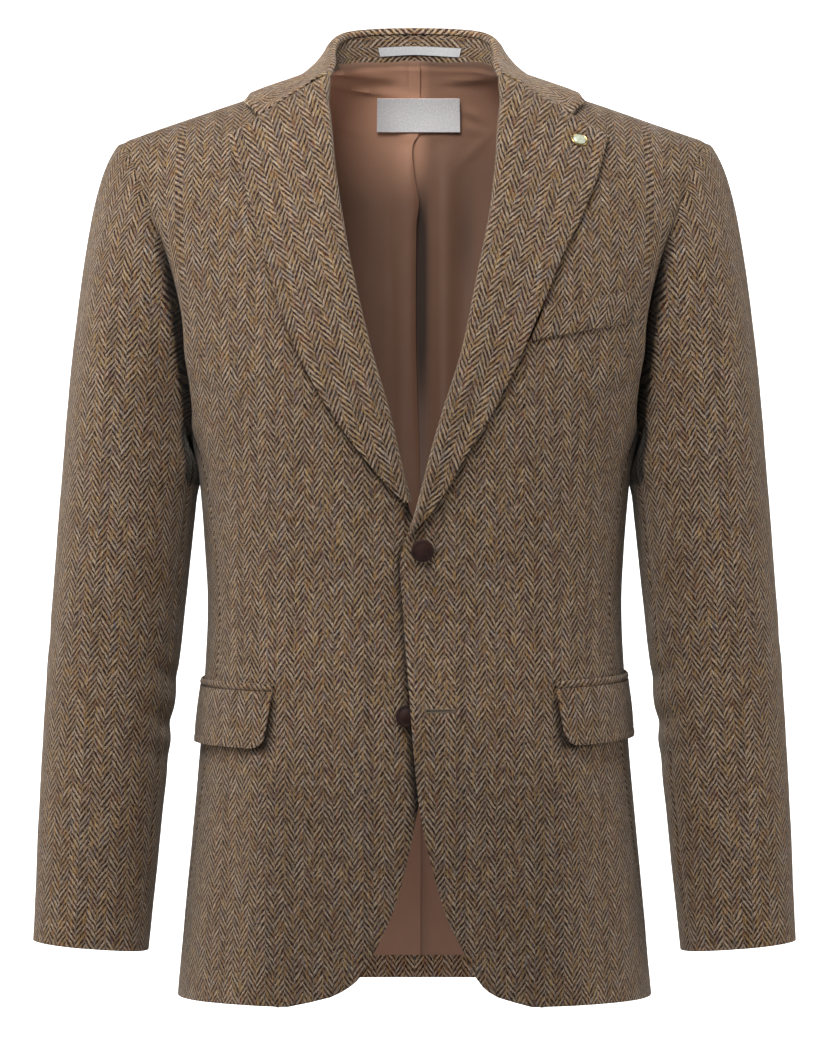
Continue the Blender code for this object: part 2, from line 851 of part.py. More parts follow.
def lapel(name, side, rows):
    grid = []
    for row in range(LAPEL_ROWS + 1):
        along = row / LAPEL_ROWS
        spot = through(rows, along * (len(rows) - 1))
        line = []
        for column in range(LAPEL_COLUMNS + 1):
            across = column / LAPEL_COLUMNS
            x = mix(spot[0], spot[2], across)
            down = mix(spot[1], spot[3], across)
            point, normal = place(x, down)
            lift = lapel_lift(across, along, LAPEL_CLOTH)
            if side > 0:
                lift += front_lift(x, down)
            line.append((point + normal * lift, normal))
        grid.append(line)
    lay(grid, side, name, LAPEL_CLOTH, TWEED_DARK)


def clear_of_body(point, clearance):
    """Moves a point out until it stands clear of the body's cloth."""
    front = point.y < CENTRE_Y
    height = height_over(abs(point.x), point.y)
    if height > -60:
        level = find_level(abs(point.x), point.y, 1, front, -1 if front else 1)
        normal = body_normal(angle_at(abs(point.x), level, front), level)
        normal.x = math.copysign(normal.x, point.x)
        gap = (point.z - height) * normal.z
        if gap < clearance:
            return point + normal * (clearance - gap)
    return point


def collar_section(n):
    """Points across the fall at one section, from inside the fold to the leaf's edge."""
    if n < len(COLLAR):
        row = COLLAR[n]
        fold, middle, edge = (Vector(row[i:i + 3]) for i in (0, 3, 6))
        line = []
        for share in COLLAR_SHARES:
            keeping = 1 - share
            line.append(fold * keeping ** 2 + middle * 2 * keeping * share + edge * share ** 2)
    else:
        fold, gorge, leaf = (Vector(spot) for spot in COLLAR_END)
        bend = COLLAR_SHARES[4]
        line = []
        for share in COLLAR_SHARES:
            if share <= bend:
                spot = fold.lerp(gorge, share / bend)
            else:
                spot = gorge.lerp(leaf, (share - bend) / (1 - bend))
            point, normal = place(spot.x, spot.y)
            line.append(point + normal * COLLAR_END_LIFT + Vector((0, 0, SEAM_GAP)))
    return line


def fold_direction(position):
    """Level direction away from the neck, square to the fold."""
    folds = [collar_section(n)[0] for n in range(len(COLLAR) + 1)]
    here = min(max(position, 0.0), len(COLLAR) - 0.1)
    ahead = through(folds, here + 0.1) - through(folds, max(here - 0.1, 0.0))
    return Vector((-ahead.y, ahead.x, 0)).normalized()


def collar_fall():
    sections = [collar_section(n) for n in range(len(COLLAR) + 1)]
    last = len(COLLAR)
    steps = last * COLLAR_STEPS_A_SECTION
    half = []
    for step in range(steps + 1):
        position = step / COLLAR_STEPS_A_SECTION
        line = [through([section[n] for section in sections], position)
                for n in range(len(COLLAR_SHARES))]
        line = [clear_of_body(point, COLLAR_GAP + COLLAR_CLOTH) for point in line]
        out = fold_direction(position)
        inside = line[0] - out * FOLD_WIDTH - Vector((0, 0, FOLD_DROP))
        half.append([inside] + line)
    outer = mirrored(half[:0:-1], -1) + half
    normals = open_normals(outer)
    inner = [[point - normal * COLLAR_CLOTH for point, normal in zip(line, facing)]
             for line, facing in zip(outer, normals)]
    cloth("collar_fall", outer, inner, TWEED)


def open_normals(grid):
    """Normals of a grid of points with open edges."""
    rows = len(grid)
    columns = len(grid[0])
    normals = []
    for r in range(rows):
        line = []
        for c in range(columns):
            around = grid[r][min(c + 1, columns - 1)] - grid[r][max(c - 1, 0)]
            along = grid[min(r + 1, rows - 1)][c] - grid[max(r - 1, 0)][c]
            line.append(around.cross(along).normalized())
        normals.append(line)
    return normals


def stand_section(position, share):
    """Outer face of the stand, from the neck seam up to just under the fold."""
    folds = [collar_section(n)[0] for n in range(len(COLLAR) + 1)]
    fold = through(folds, abs(position))
    out = fold_direction(abs(position))
    top = fold - out * STAND_OUTER_INSET - Vector((0, 0, STAND_TOP_DROP))
    turn = math.radians(100) * abs(position) / STAND_END
    x = (NECK_HALF_WIDTH - 0.8) * math.sin(turn)
    depth = NECK_DEPTH if turn < math.pi / 2 else NECK_DEPTH * 0.5
    y = CENTRE_Y + (depth - 0.8) * math.cos(turn)
    foot = Vector((x, y, height_over(x, y) + SEAM_GAP))
    point = foot.lerp(top, share)
    if position < 0:
        point.x = -point.x
        out = Vector((-out.x, out.y, 0))
    return point, out


def collar_stand():
    grid = []
    for step in range(-10, 11):
        position = STAND_END * step / 10
        grid.append([stand_section(position, share) for share in (0.0, 0.5, 1.0)])
    lay(grid, 1, "collar_stand", STAND_CLOTH, TWEED_DARK)


def stand_position(x):
    """Where along the stand its face has this x."""
    low, high = -3.0, 3.0
    for _ in range(30):
        position = (low + high) / 2
        if stand_section(position, 0.7)[0].x < x:
            low = position
        else:
            high = position
    return position


def hanger_tape():
    grid = []
    for step in range(9):
        position = stand_position(mix(*TAPE_SPAN, step / 8))
        line = []
        for share in TAPE_SHARES:
            point, out = stand_section(position, share)
            line.append((point - out * (STAND_CLOTH + TAPE_GAP), out))
        grid.append(line)
    lay(grid, 1, "hanger_tape", TAPE_CLOTH, LABEL_WHITE)


# Pockets

def pocket_strip(front_x, downs, slants, lifts, rise, thickness, side, name, look):
    """A strip laid round the hip, one row for each distance down."""
    grid = []
    for down, slant, lift in zip(downs, slants, lifts):
        line = []
        for column in range(FLAP_COLUMNS + 1):
            share = column / FLAP_COLUMNS
            level = body_level(down - rise * share)
            start = angle_at(front_x + slant, level)
            end = math.pi - math.asin(FLAP_BACK_SHARE ** (RING_CURVE / 2))
            angle = mix(start, end, share)
            normal = body_normal(angle, level)
            line.append((body(angle, level) + normal * lift, normal))
        grid.append(line)
    lay(grid, side, name, thickness, look)


def pockets():
    for name, side, front_x, top, rise in POCKETS:
        downs = [top + FLAP_DEPTH * share for share in FLAP_ROWS]
        slants = []
        lifts = []
        for share in FLAP_ROWS:
            past = max(0.0, FLAP_DEPTH * share - (FLAP_DEPTH - FLAP_CORNER))
            corner = FLAP_CORNER - math.sqrt(FLAP_CORNER ** 2 - past ** 2)
            slants.append(FLAP_SLANT * share + corner)
            lifts.append(POCKET_GAP + FLAP_CLOTH + FLAP_SPRING * share)
        pocket_strip(front_x, downs, slants, lifts, rise, FLAP_CLOTH, side,
                     "pocket_flap_" + name, TWEED_DARK)
        shares = (0.0, 0.33, 0.67, 1.0)
        downs = [top - SEAM_GAP - JET_HEIGHT * (1 - share) for share in shares]
        lifts = [POCKET_GAP + FLAP_CLOTH - JET_CROWN + JET_CROWN * math.sin(math.pi * share)
                 for share in shares]
        pocket_strip(front_x, downs, [0.0] * 4, lifts, rise, FLAP_CLOTH - JET_CROWN, side,
                     "pocket_jet_" + name, TWEED)


def chest_welt():
    grid = []
    for row in range(4):
        inner_x = mix(WELT_INNER_TOP[0], WELT_INNER_FOOT[0], row / 3)
        inner_down = mix(WELT_INNER_TOP[1], WELT_INNER_FOOT[1], row / 3)
        outer_x = mix(WELT_OUTER_TOP[0], WELT_OUTER_FOOT[0], row / 3)
        outer_down = mix(WELT_OUTER_TOP[1], WELT_OUTER_FOOT[1], row / 3)
        line = []
        for column in range(7):
            share = column / 6
            point, normal = place(mix(inner_x, outer_x, share), mix(inner_down, outer_down, share))
            line.append((point + normal * (POCKET_GAP + WELT_CLOTH), normal))
        grid.append(line)
    lay(grid, 1, "chest_welt", WELT_CLOTH, TWEED_DARK)


# Trim

def fastenings():
    point, normal = place(BUTTON_X, TOP_BUTTON_DOWN)
    point += normal * front_lift(BUTTON_X, TOP_BUTTON_DOWN)
    turned("button_top", BUTTON_PROFILE, BUTTON_RADIUS, point, normal, LEATHER)
    point, normal = place(LOW_BUTTON_X, LOW_BUTTON_DOWN)
    turned("button_bottom", BUTTON_PROFILE, BUTTON_RADIUS, point, normal, LEATHER)
    point, normal = place(PIN_X, PIN_DOWN)
    point += normal * (LAPEL_GAP + GORGE_GAP + LAPEL_CLOTH)
    turned("lapel_pin", PIN_PROFILE, PIN_RADIUS, point, normal, PEARL, PIN_ASPECT)


def pleat(x, down):
    """Depth of the lining's centre pleat."""
    length = ramp(down, PLEAT_TOP, PLEAT_TOP + 60) * (1 - ramp(down, PLEAT_FOOT - 70, PLEAT_FOOT))
    return PLEAT_DEPTH * length * bump(x, 0, PLEAT_WIDTH)


def lining_rows():
    rows = [entry for entry in panel_levels() if entry[1] < LINING_FOOT]
    return rows + [(body_level(LINING_FOOT), LINING_FOOT)]


def back_lining(name, side):
    """Half of the back lining. The right half's pleat lies over the left half."""
    over = side < 0
    grid = back_grid(LINING_COLUMNS, lining_rows())
    for line in grid:
        if over:
            (point, normal), (centre, facing) = line[-2:]
            share = PLEAT_LAP / point.x
            across = Vector((-point.x, point.y, point.z))
            line.append((centre.lerp(across, share), facing))
        for n, (point, normal) in enumerate(line):
            inset = BACK_CLOTH + LINING_GAP
            folded = pleat(point.x + PLEAT_X if over else point.x - PLEAT_X, -point.z)
            inset += folded if over else folded * 0.25
            if over:
                inset += PLEAT_STEP * (1 - ramp(point.x, 0, PLEAT_WIDTH))
            line[n] = (point - normal * inset, normal)
    lay(grid, side, name, LINING_CLOTH, LINING_CLOTH_COLOUR)


def on_grid(grid, row, x):
    """Point and normal on a grid's facets, at a row that need not be whole and an x."""
    above = grid[int(row)]
    below = grid[int(row) + 1]
    share = row - int(row)
    line = [(a.lerp(b, share), m.lerp(n, share)) for (a, m), (b, n) in zip(above, below)]
    for (a, m), (b, n) in zip(line, line[1:]):
        if b.x <= x <= a.x:
            t = (x - a.x) / (b.x - a.x)
            break
    return a.lerp(b, t), m.lerp(n, t).normalized()


def neck_label():
    seat = back_grid(LINING_COLUMNS, lining_rows())
    inset = BACK_CLOTH + LINING_GAP + LINING_CLOTH + PLEAT_STEP + LABEL_GAP
    grid = []
    for row in LABEL_ROWS:
        line = []
        for column in range(7):
            x = mix(*LABEL_SPAN, column / 6)
            point, normal = on_grid(seat, row, abs(x))
            point.x = math.copysign(point.x, x)
            normal.x = math.copysign(normal.x, x)
            line.append((point - normal * inset, normal))
        grid.append(line)
    lay(grid, 1, "neck_label", TAPE_CLOTH, LABEL_WHITE)


def clear_scene():
    for item in list(bpy.data.objects):
        bpy.data.objects.remove(item, do_unlink=True)


clear_scene()
front_panel("front_left", 1, LEFT_FRONT_EDGE)
front_panel("front_right", -1, RIGHT_FRONT_EDGE)
for wearer_side, sign in (("left", 1), ("right", -1)):
    side_panel("side_" + wearer_side, sign)
    back_panel("back_" + wearer_side, sign)
    back_lining("back_lining_" + wearer_side, sign)
sleeves()
lapel("lapel_left", 1, LEFT_LAPEL)
lapel("lapel_right", -1, RIGHT_LAPEL)
collar_fall()
collar_stand()
hanger_tape()
neck_label()
pockets()
chest_welt()
fastenings()
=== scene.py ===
"""A man's tweed hacking jacket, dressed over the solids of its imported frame.

The front faces -Y and the wearer's left side is +X. Tables and sizes are in millimetres
and "down" is the distance below the origin, which lies between the shoulders' neck points.
"""
import math
from bisect import bisect_right
from functools import cache

import bmesh
import bpy
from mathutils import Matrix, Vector, noise
from mathutils.bvhtree import BVHTree


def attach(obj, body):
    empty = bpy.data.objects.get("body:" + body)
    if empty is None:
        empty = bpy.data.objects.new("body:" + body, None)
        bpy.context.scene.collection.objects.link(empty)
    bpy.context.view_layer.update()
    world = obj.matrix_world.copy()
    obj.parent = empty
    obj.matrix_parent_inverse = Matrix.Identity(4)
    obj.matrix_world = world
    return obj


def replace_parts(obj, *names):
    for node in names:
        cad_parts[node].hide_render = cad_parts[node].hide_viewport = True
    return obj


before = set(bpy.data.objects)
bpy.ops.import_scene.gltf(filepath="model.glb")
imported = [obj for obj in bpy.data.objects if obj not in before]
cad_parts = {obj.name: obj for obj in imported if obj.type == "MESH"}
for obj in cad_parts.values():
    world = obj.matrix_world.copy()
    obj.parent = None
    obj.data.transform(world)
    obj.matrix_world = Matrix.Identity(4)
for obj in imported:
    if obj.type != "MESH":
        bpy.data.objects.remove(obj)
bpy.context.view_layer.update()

MM = 0.001

# Cloth thicknesses, and the spaces between layers and at seams
SEAM_GAP = 0.06
FRONT_CLOTH = 2.2
BACK_CLOTH = 2.0
SLEEVE_CLOTH = 2.0
LAPEL_CLOTH = 3.0
FLAP_CLOTH = 2.6
COLLAR_CLOTH = 2.2
COLLAR_GAP = 1.2
LINING_CLOTH = 1.0
TAPE_CLOTH = 0.8

# The shoulders
NECK_X = 92.0
SHOULDER_SLOPE = 0.345
RIDGE_ROUNDING = 15.0
YOKE_DEPTH = 250.0
YOKE_FALL = 0.9
FRONT_YOKE_CURVE = 1.85
BACK_YOKE_CURVE = 3.0
NAPE_LIFT = 14.0
NAPE_WIDTH = 80.0

# The body's rings below the shoulders
RING_CURVE = 2.4
CENTRE_Y = 4.0
HEM_DOWN = 739.0
HEM_LEVEL = 2.0
UNDERARM_DOWN = 285.0
ARMHOLE_DIP = 8.0

# down, half width, depth of the front, depth of the back
BODY = (
    (0, 258, 135, 122),
    (70, 240, 135, 122),
    (120, 224, 135, 122),
    (170, 209, 135, 122),
    (210, 201, 135, 122),
    (250, 192.5, 135, 122),
    (285, 184, 133.5, 119),
    (310, 176.5, 131.5, 116),
    (340, 172.7, 128, 111),
    (405, 168.1, 121, 103),
    (437, 167.7, 119.5, 102),
    (470, 169.3, 120.5, 106),
    (534, 173.2, 125, 116),
    (583, 177.2, 129, 123),
    (648, 183.5, 133, 129),
    (HEM_DOWN, 191.6, 137, 132),
)

# down, x of the armhole on the front, x of the armhole on the back
ARMHOLE = (
    (52, 235.5, 235.5),
    (59, 231, 233),
    (89, 219.5, 222.5),
    (119, 209, 212),
    (146, 200.5, 205),
    (191, 192, 196),
    (240, 186.5, 187),
    (285, 179.4, 174.8),
)

# down, the two seams of the side body as shares of the half width
SIDE_SEAMS = (
    (285, 0.975, 0.950),
    (330, 0.957, 0.935),
    (400, 0.935, 0.905),
    (485, 0.935, 0.875),
    (535, 0.958, 0.860),
    (640, 0.985, 0.832),
    (HEM_DOWN, 0.997, 0.810),
)

# down, x of the left front's inner edge: roll line, closing edge, cut-away skirt
LEFT_FRONT_EDGE = (
    (-8, 75),
    (0, 70.5),
    (14, 66.6),
    (45.4, 65),
    (106.6, 59.6),
    (143.7, 51.6),
    (197.6, 42.6),
    (246.4, 28.6),
    (303.6, 11.4),
    (345.2, 0.4),
    (369.5, -6.7),
    (386.8, -11),
    (417.3, -9.8),
    (502.8, -3.5),
    (542.8, -0.4),
    (591.4, 5.1),
    (629, 13.7),
    (669, 25.5),
    (694.1, 38),
    (711.3, 45.9),
    (718.4, 50.6),
    (724.7, 56),
    (731, 66.3),
    (HEM_DOWN, 92.9),
)

# the same for the right front, whose closing edge lies under the left one
RIGHT_FRONT_EDGE = (
    (-8, 75),
    (0, 70.5),
    (14, 66.8),
    (61.3, 62.4),
    (134, 52.4),
    (197.6, 38.1),
    (246.4, 27),
    (270.7, 18.4),
    (345.2, 0.6),
    (369.5, -10),
    (386.8, -20),
    (417.3, -21),
    (502.8, -16.5),
    (542.8, -11),
    (591.4, -1.2),
    (629, 6.7),
    (662, 16.1),
    (694.1, 31),
    (712, 41.2),
    (718.4, 45.9),
    (724.7, 54.5),
    (731, 67),
    (HEM_DOWN, 100),
)

# The neck's seam, as half of an oval
NECK_HALF_WIDTH = 75.0
NECK_DEPTH = 70.0

# Side vents: the back laps over an extension of the side body
VENT_TOP = 550.0
VENT_LAP = 30.0
VENT_INSET = 3.4

# The left front rides over the right one, and over the lower button
FRONT_LIFT = 3.1
BUTTON_LIFT = 6.8
BUTTON_X = 6.3
TOP_BUTTON_DOWN = 379.7
LOW_BUTTON_X = -5.9
LOW_BUTTON_DOWN = 510.6

# The sleeve's tube: down, outer x, inner x, half depth, y of its axis
SLEEVE = (
    (240, 278.6, 186, 70, 5),
    (300, 283.9, 182, 69.5, 4),
    (340, 287.1, 177.2, 68, 3),
    (372, 289.6, 179.8, 66, 2),
    (437, 294.4, 186.7, 62, -1),
    (502, 298.5, 193.2, 58, -5),
    (583, 302.5, 202.1, 52, -14),
    (648, 305, 208.6, 47.5, -22),
    (705, 307, 214, 45, -29),
)
SLEEVE_CURVE = 2.2
BICEPS_DOWN = 310.0
BICEPS_TILT = 50.0
CUFF_DOWN = 697.5
CUFF_TILT = 4.0
ARMHOLE_GAP = 0.1
CAP_HANDLE = 20.0
UNDERARM_HANDLE = 7.0
CAP_FALL = 0.45
SLEEVE_SEAM_GAP = 0.1

# How far along the sleeve each crease lies (share), where it is deepest round the
# sleeve (degrees from the outside, 90 at the front), its width in both, and its depth
SLEEVE_CREASES = (
    (0.36, 150, 0.030, 42, 3.2),
    (0.47, 165, 0.028, 38, 3.6),
    (0.55, 140, 0.030, 45, 2.6),
    (0.20, 120, 0.040, 40, 2.4),
    (0.42, 250, 0.045, 40, 2.2),
)

# Lapels, from the gorge to the break: roll x, roll down, edge x, edge down
LEFT_LAPEL = (
    (71, 2, 153.2, 53.7),
    (66, 38, 143.9, 85),
    (63.3, 75, 132.3, 113.7),
    (58.6, 115, 116.1, 146.8),
    (48.6, 165, 99.3, 187.4),
    (36.9, 222, 81.8, 228),
    (22.2, 269, 60.5, 271),
    (12.2, 303.6, 40.5, 304),
    (1.4, 345.2, 19, 341),
    (-5, 366, 0.5, 364),
)
RIGHT_LAPEL = (
    (71, 2, 146.9, 53.3),
    (65.8, 38, 136.8, 83.4),
    (62.2, 75, 125.1, 121.1),
    (56.6, 114, 115.3, 153.9),
    (48.6, 158, 102.3, 196.2),
    (34, 220, 83.5, 239),
    (19.2, 270.7, 59, 280),
    (10.5, 308, 31, 317),
    (2.2, 341, 8, 342.5),
)
ROLL_AT_GORGE = 0.8
ROLL_AT_BREAK = 4.5
LAPEL_GAP = 1.6
GORGE_GAP = 0.8
LAPEL_TURNING = 1.2

# Collar sections from the centre back round to the gorge:
# fold x, y, z, then the leaf's middle x, y, z, then its edge x, y, z
COLLAR = (
    (0, 80, 48.5, 0, 90, 34, 0, 94, 5),
    (32, 76.5, 47.5, 37, 86, 33, 42, 91, 1),
    (56, 60, 43.5, 67, 70, 23, 84, 77, -3),
    (67, 36, 35.5, 78, 42, 11, 112, 50, -9),
    (69.5, 14, 25, 82, 16, 4, 128, 18, -12),
    (69, -5, 15.5, 84, -6, -1, 133, -8, -14),
)
# The collar's front end: fold, gorge corner and leaf corner, each x and down
COLLAR_END = ((71, 0.5), (121.8, 33.2), (134.7, 22.2))
COLLAR_END_LIFT = 4.6
COLLAR_SHARES = (0, 0.18, 0.36, 0.54, 0.72, 0.86, 1)
STAND_END = 4.9
STAND_TOP_DROP = 2.0
STAND_OUTER_INSET = 1.0
STAND_FOOT_INSET = 0.8
STAND_SWEEP = math.radians(100)

# Hip pockets: the wearer's side, front end x, top of the flap, rise towards the back
POCKETS = (
    ("left", 1, 111, 489.8, 7),
    ("right", -1, 111, 492.3, 4),
)
POCKET_GAP = 0.8
FLAP_SPRING = 1.8
WELT_CLOTH = 2.2
FLAP_DEPTH = 45.0
FLAP_SLANT = 7.0
FLAP_CORNER = 10.0
FLAP_BACK_SHARE = 0.955
JET_HEIGHT = 6.2
JET_CROWN = 1.2

# Chest welt corners, each x and down
WELT_INNER_TOP = (101.5, 188.8)
WELT_OUTER_TOP = (172.6, 173.7)
WELT_INNER_FOOT = (89.6, 216)
WELT_OUTER_FOOT = (168.9, 199.9)

BUTTON_RADIUS = 9.0

PIN_X = 129.8
PIN_DOWN = 56.5
PIN_RADIUS = 7.0
PIN_ASPECT = 0.9

# Neck label and hanger tape: left and right x, and the tape's share of the stand's height
LABEL_SPAN = (-32, 38.7)
LABEL_GAP = 0.6
TAPE_SPAN = (-32, 41.5)
TAPE_SHARES = (0.28, 0.55)
TAPE_GAP = 0.6

# The back lining and its centre pleat
LINING_GAP = 0.6
LINING_FOOT = 720.0
# Where each half of it starts, as a share of the half back
LINING_SHARE = 0.48
PLEAT_WIDTH = 18.0
PLEAT_STEP = 1.6


CURVES = {}


def curve(keys, values):
    """A smooth curve through values, as its keys, values and slopes."""
    last = len(keys) - 1
    slopes = []
    for n in range(len(keys)):
        before, after = max(n - 1, 0), min(n + 1, last)
        slopes.append((values[after] - values[before]) / (keys[after] - keys[before]))
    return keys, values, slopes


def value_on(line, key):
    keys, values, slopes = line
    if key <= keys[0]:
        return values[0]
    if key >= keys[-1]:
        return values[-1]
    i = bisect_right(keys, key) - 1
    span = keys[i + 1] - keys[i]
    t = (key - keys[i]) / span
    bend = 3 * t * t - 2 * t * t * t
    lead = (t ** 3 - 2 * t ** 2 + t) * slopes[i] * span
    trail = (t ** 3 - t ** 2) * slopes[i + 1] * span
    return values[i] * (1 - bend) + values[i + 1] * bend + lead + trail


def read(rows, key, column):
    """One column of a table, on a smooth curve through its rows."""
    line = CURVES.get((id(rows), column))
    if line is None:
        line = curve([row[0] for row in rows], [row[column] for row in rows])
        CURVES[id(rows), column] = line
    return value_on(line, key)


def through(points, position):
    """A point on the smooth curve through a list of points, by index."""
    keys = list(range(len(points)))
    return Vector(value_on(curve(keys, [point[n] for point in points]), position)
                  for n in range(len(points[0])))


def run_lengths(line):
    """Distance along a line of points, from its first."""
    lengths = [0.0]
    for a, b in zip(line, line[1:]):
        lengths.append(lengths[-1] + (b - a).length)
    return lengths


def ramp(value, start, end):
    """0 below start, 1 above end and an S curve between."""
    t = min(max((value - start) / (end - start), 0.0), 1.0)
    return t * t * (3 - 2 * t)


def bump(value, centre, width):
    """A bell curve, 1 at its centre."""
    return math.exp(-((value - centre) / width) ** 2)


def power(value, exponent):
    """A power that keeps the value's sign."""
    return math.copysign(abs(value) ** exponent, value)


def mix(a, b, share):
    return a * (1 - share) + b * share


def halve(low, high, below, steps=30):
    """Closes in on the value at which below(value) turns false."""
    for _ in range(steps):
        middle = (low + high) / 2
        if below(middle):
            low = middle
        else:
            high = middle
    return middle


# The body surface. An angle runs from 0 at the centre front through a quarter turn at
# the side to a half turn at the centre back. A level is 0 on the shoulder ridge, 1 at
# the foot of the yoke and 2 at the hem.

# The small step in angle and in level over which a slope is read
STEP = 0.01


def body_level(down):
    return 1 + (down - YOKE_DEPTH) / (HEM_DOWN - YOKE_DEPTH)


def ridge(x):
    """Height of the shoulder ridge."""
    return -SHOULDER_SLOPE * (math.hypot(x, RIDGE_ROUNDING) - NECK_X)


def ring(level, front):
    """Drop below the ridge, reach from the centre and share of the ridge's slope."""
    if level >= 1:
        return YOKE_DEPTH + (level - 1) * (HEM_DOWN - YOKE_DEPTH), 1.0, 0.0
    lean = level * math.pi / 2
    curve = 2 / (FRONT_YOKE_CURVE if front else BACK_YOKE_CURVE)
    drop = YOKE_DEPTH * (1 - math.cos(lean) ** curve)
    return drop, math.sin(lean) ** curve, math.cos(lean)


def body(angle, level):
    """A point on the outer face of the body's cloth, on the wearer's left."""
    front = angle < math.pi / 2
    turn = angle if front else math.pi - angle
    drop, reach, sloping = ring(level, front)
    x = read(BODY, drop, 1) * power(math.sin(turn), 2 / RING_CURVE)
    depth = read(BODY, drop, 2 if front else 3) * reach
    y = depth * power(math.cos(turn), 2 / RING_CURVE)
    z = ridge(x) * sloping - drop
    if not front:
        z += NAPE_LIFT * bump(x, 0, NAPE_WIDTH) * ramp(reach, 0.0, 0.5) * sloping ** 2
    return Vector((x, CENTRE_Y - y if front else CENTRE_Y + y, z))


def body_normal(angle, level):
    if level == 0:
        return Vector((SHOULDER_SLOPE, 0, 1)).normalized()
    level = max(level, 3 * STEP)
    around = body(angle + 2 * STEP, level) - body(angle - 2 * STEP, level)
    down = body(angle, level + STEP) - body(angle, level - STEP)
    return down.cross(around).normalized()


def angle_at(x, level, front=True):
    """The angle whose point on this level has this x."""
    drop = ring(level, front)[0]
    share = min(max(x / read(BODY, drop, 1), -1.0), 1.0)
    turn = math.asin(power(share, RING_CURVE / 2))
    return turn if front else math.pi - turn


def edge_angle(level, rows, column, front=True):
    """The angle of an edge whose x is given by how far down it is."""
    x = rows[0][column]
    for _ in range(8):
        point = body(angle_at(x, level, front), level)
        x = read(rows, -point.z, column)
    return angle_at(x, level, front)


def step_round(angle, level, distance):
    """Moves an angle by a short distance along the cloth."""
    ahead, behind = body(angle + STEP, level), body(angle - STEP, level)
    return angle + distance * 2 * STEP / (ahead - behind).length


def find_level(x, goal, axis, front, sign):
    """The level at which the point with this x reaches the goal along an axis."""
    def below(level):
        return (body(angle_at(x, level, front), level)[axis] - goal) * sign < 0

    return halve(0.0, HEM_LEVEL, below, 27)


def place(x, down, front=True):
    """The body's point and normal at an x and a distance down."""
    level = find_level(x, -down, 2, front, -1)
    angle = angle_at(x, level, front)
    return body(angle, level), body_normal(angle, level)


def height_over(x, y):
    """Height of the shoulder surface above a point of the floor plan."""
    front = y < CENTRE_Y
    level = find_level(x, y, 1, front, -1 if front else 1)
    return body(angle_at(x, level, front), level).z


def front_lift(x, down):
    """How far the left front stands out to clear the right one and the lower button."""
    along = ramp(down, 285, 335) * (1 - ramp(down, 600, 700))
    over_button = BUTTON_LIFT * bump(down, LOW_BUTTON_DOWN, 45) * (1 - ramp(x, 8, 70))
    return FRONT_LIFT * along * (1 - ramp(x, 24, 75)) + over_button


@cache
def seam_angle(level, down, front):
    """The side body's front or back seam, or the armhole's edge above it."""
    column = 1 if front else 2
    if down <= UNDERARM_DOWN:
        return edge_angle(level, ARMHOLE, column, front)
    turn = math.asin(read(SIDE_SEAMS, down, column) ** (RING_CURVE / 2))
    return turn if front else math.pi - turn


def yoke_down(level):
    """Rough distance down of a row on the yoke."""
    return level * YOKE_DEPTH * YOKE_FALL


def grid_normals(grid, ring=False):
    """Normals of a grid of points from its neighbours. Its columns may close in a ring."""
    rows = len(grid)
    columns = len(grid[0])
    normals = []
    for r in range(rows):
        line = []
        for c in range(columns):
            after = (c + 1) % columns if ring else min(c + 1, columns - 1)
            before = (c - 1) % columns if ring else max(c - 1, 0)
            around = grid[r][after] - grid[r][before]
            along = grid[min(r + 1, rows - 1)][c] - grid[max(r - 1, 0)][c]
            line.append(around.cross(along).normalized())
        normals.append(line)
    return normals


@cache
def neckline_level(angle_share):
    """Top level of a back column: on the shoulder seam, or lower along the neckline."""
    def in_neck(level):
        point = body(back_angle(angle_share, level, yoke_down(level)), level)
        across = point.x / NECK_HALF_WIDTH
        along = (point.y - CENTRE_Y) / NECK_DEPTH
        return across * across + along * along < 1

    armhole = edge_angle(0.0, ARMHOLE, 2, front=False)
    if body(mix(armhole, math.pi, angle_share), 0.0).x > NECK_HALF_WIDTH:
        return 0.0
    return halve(0.0, 1.0, in_neck)


def back_angle(share, level, down, inset=0.0):
    seam = seam_angle(level, down, False)
    if down > UNDERARM_DOWN:
        seam = step_round(seam, level, inset)
    return mix(seam, math.pi, share)


def loop_turns(loop):
    """How far round the sleeve each point of the armhole leads, by its length."""
    lowest = len(loop) // 2
    lengths = run_lengths(loop + loop[:1])
    turns = []
    for n in range(len(loop)):
        if n <= lowest:
            turns.append(math.pi * lengths[n] / lengths[lowest])
        else:
            rest = (lengths[n] - lengths[lowest]) / (lengths[-1] - lengths[lowest])
            turns.append(math.pi * (1 + rest))
    return turns


def sleeve_tube(turn, down):
    """A point of the sleeve below the cap, by its turn from the outside round the front."""
    outer = read(SLEEVE, down, 1)
    inner = read(SLEEVE, down, 2)
    half_depth = read(SLEEVE, down, 3)
    across = power(math.cos(turn), 2 / SLEEVE_CURVE) * (outer - inner) / 2
    along = power(math.sin(turn), 2 / SLEEVE_CURVE) * half_depth
    return Vector(((outer + inner) / 2 + across, read(SLEEVE, down, 4) - along, -down))


def crease_depth(table, share, turn):
    """Depth of a table's creases at a share of the sleeve's length and a turn round it."""
    total = 0.0
    for along, degrees, length, width, depth in table:
        swing = (math.degrees(turn) - degrees + 180) % 360 - 180
        total += depth * bump(share, along, length) * bump(swing, 0, width)
    return total


def sleeve_down(turn, share):
    start = BICEPS_DOWN - BICEPS_TILT * math.cos(turn)
    end = CUFF_DOWN - CUFF_TILT * math.cos(turn)
    return mix(start, end, share)


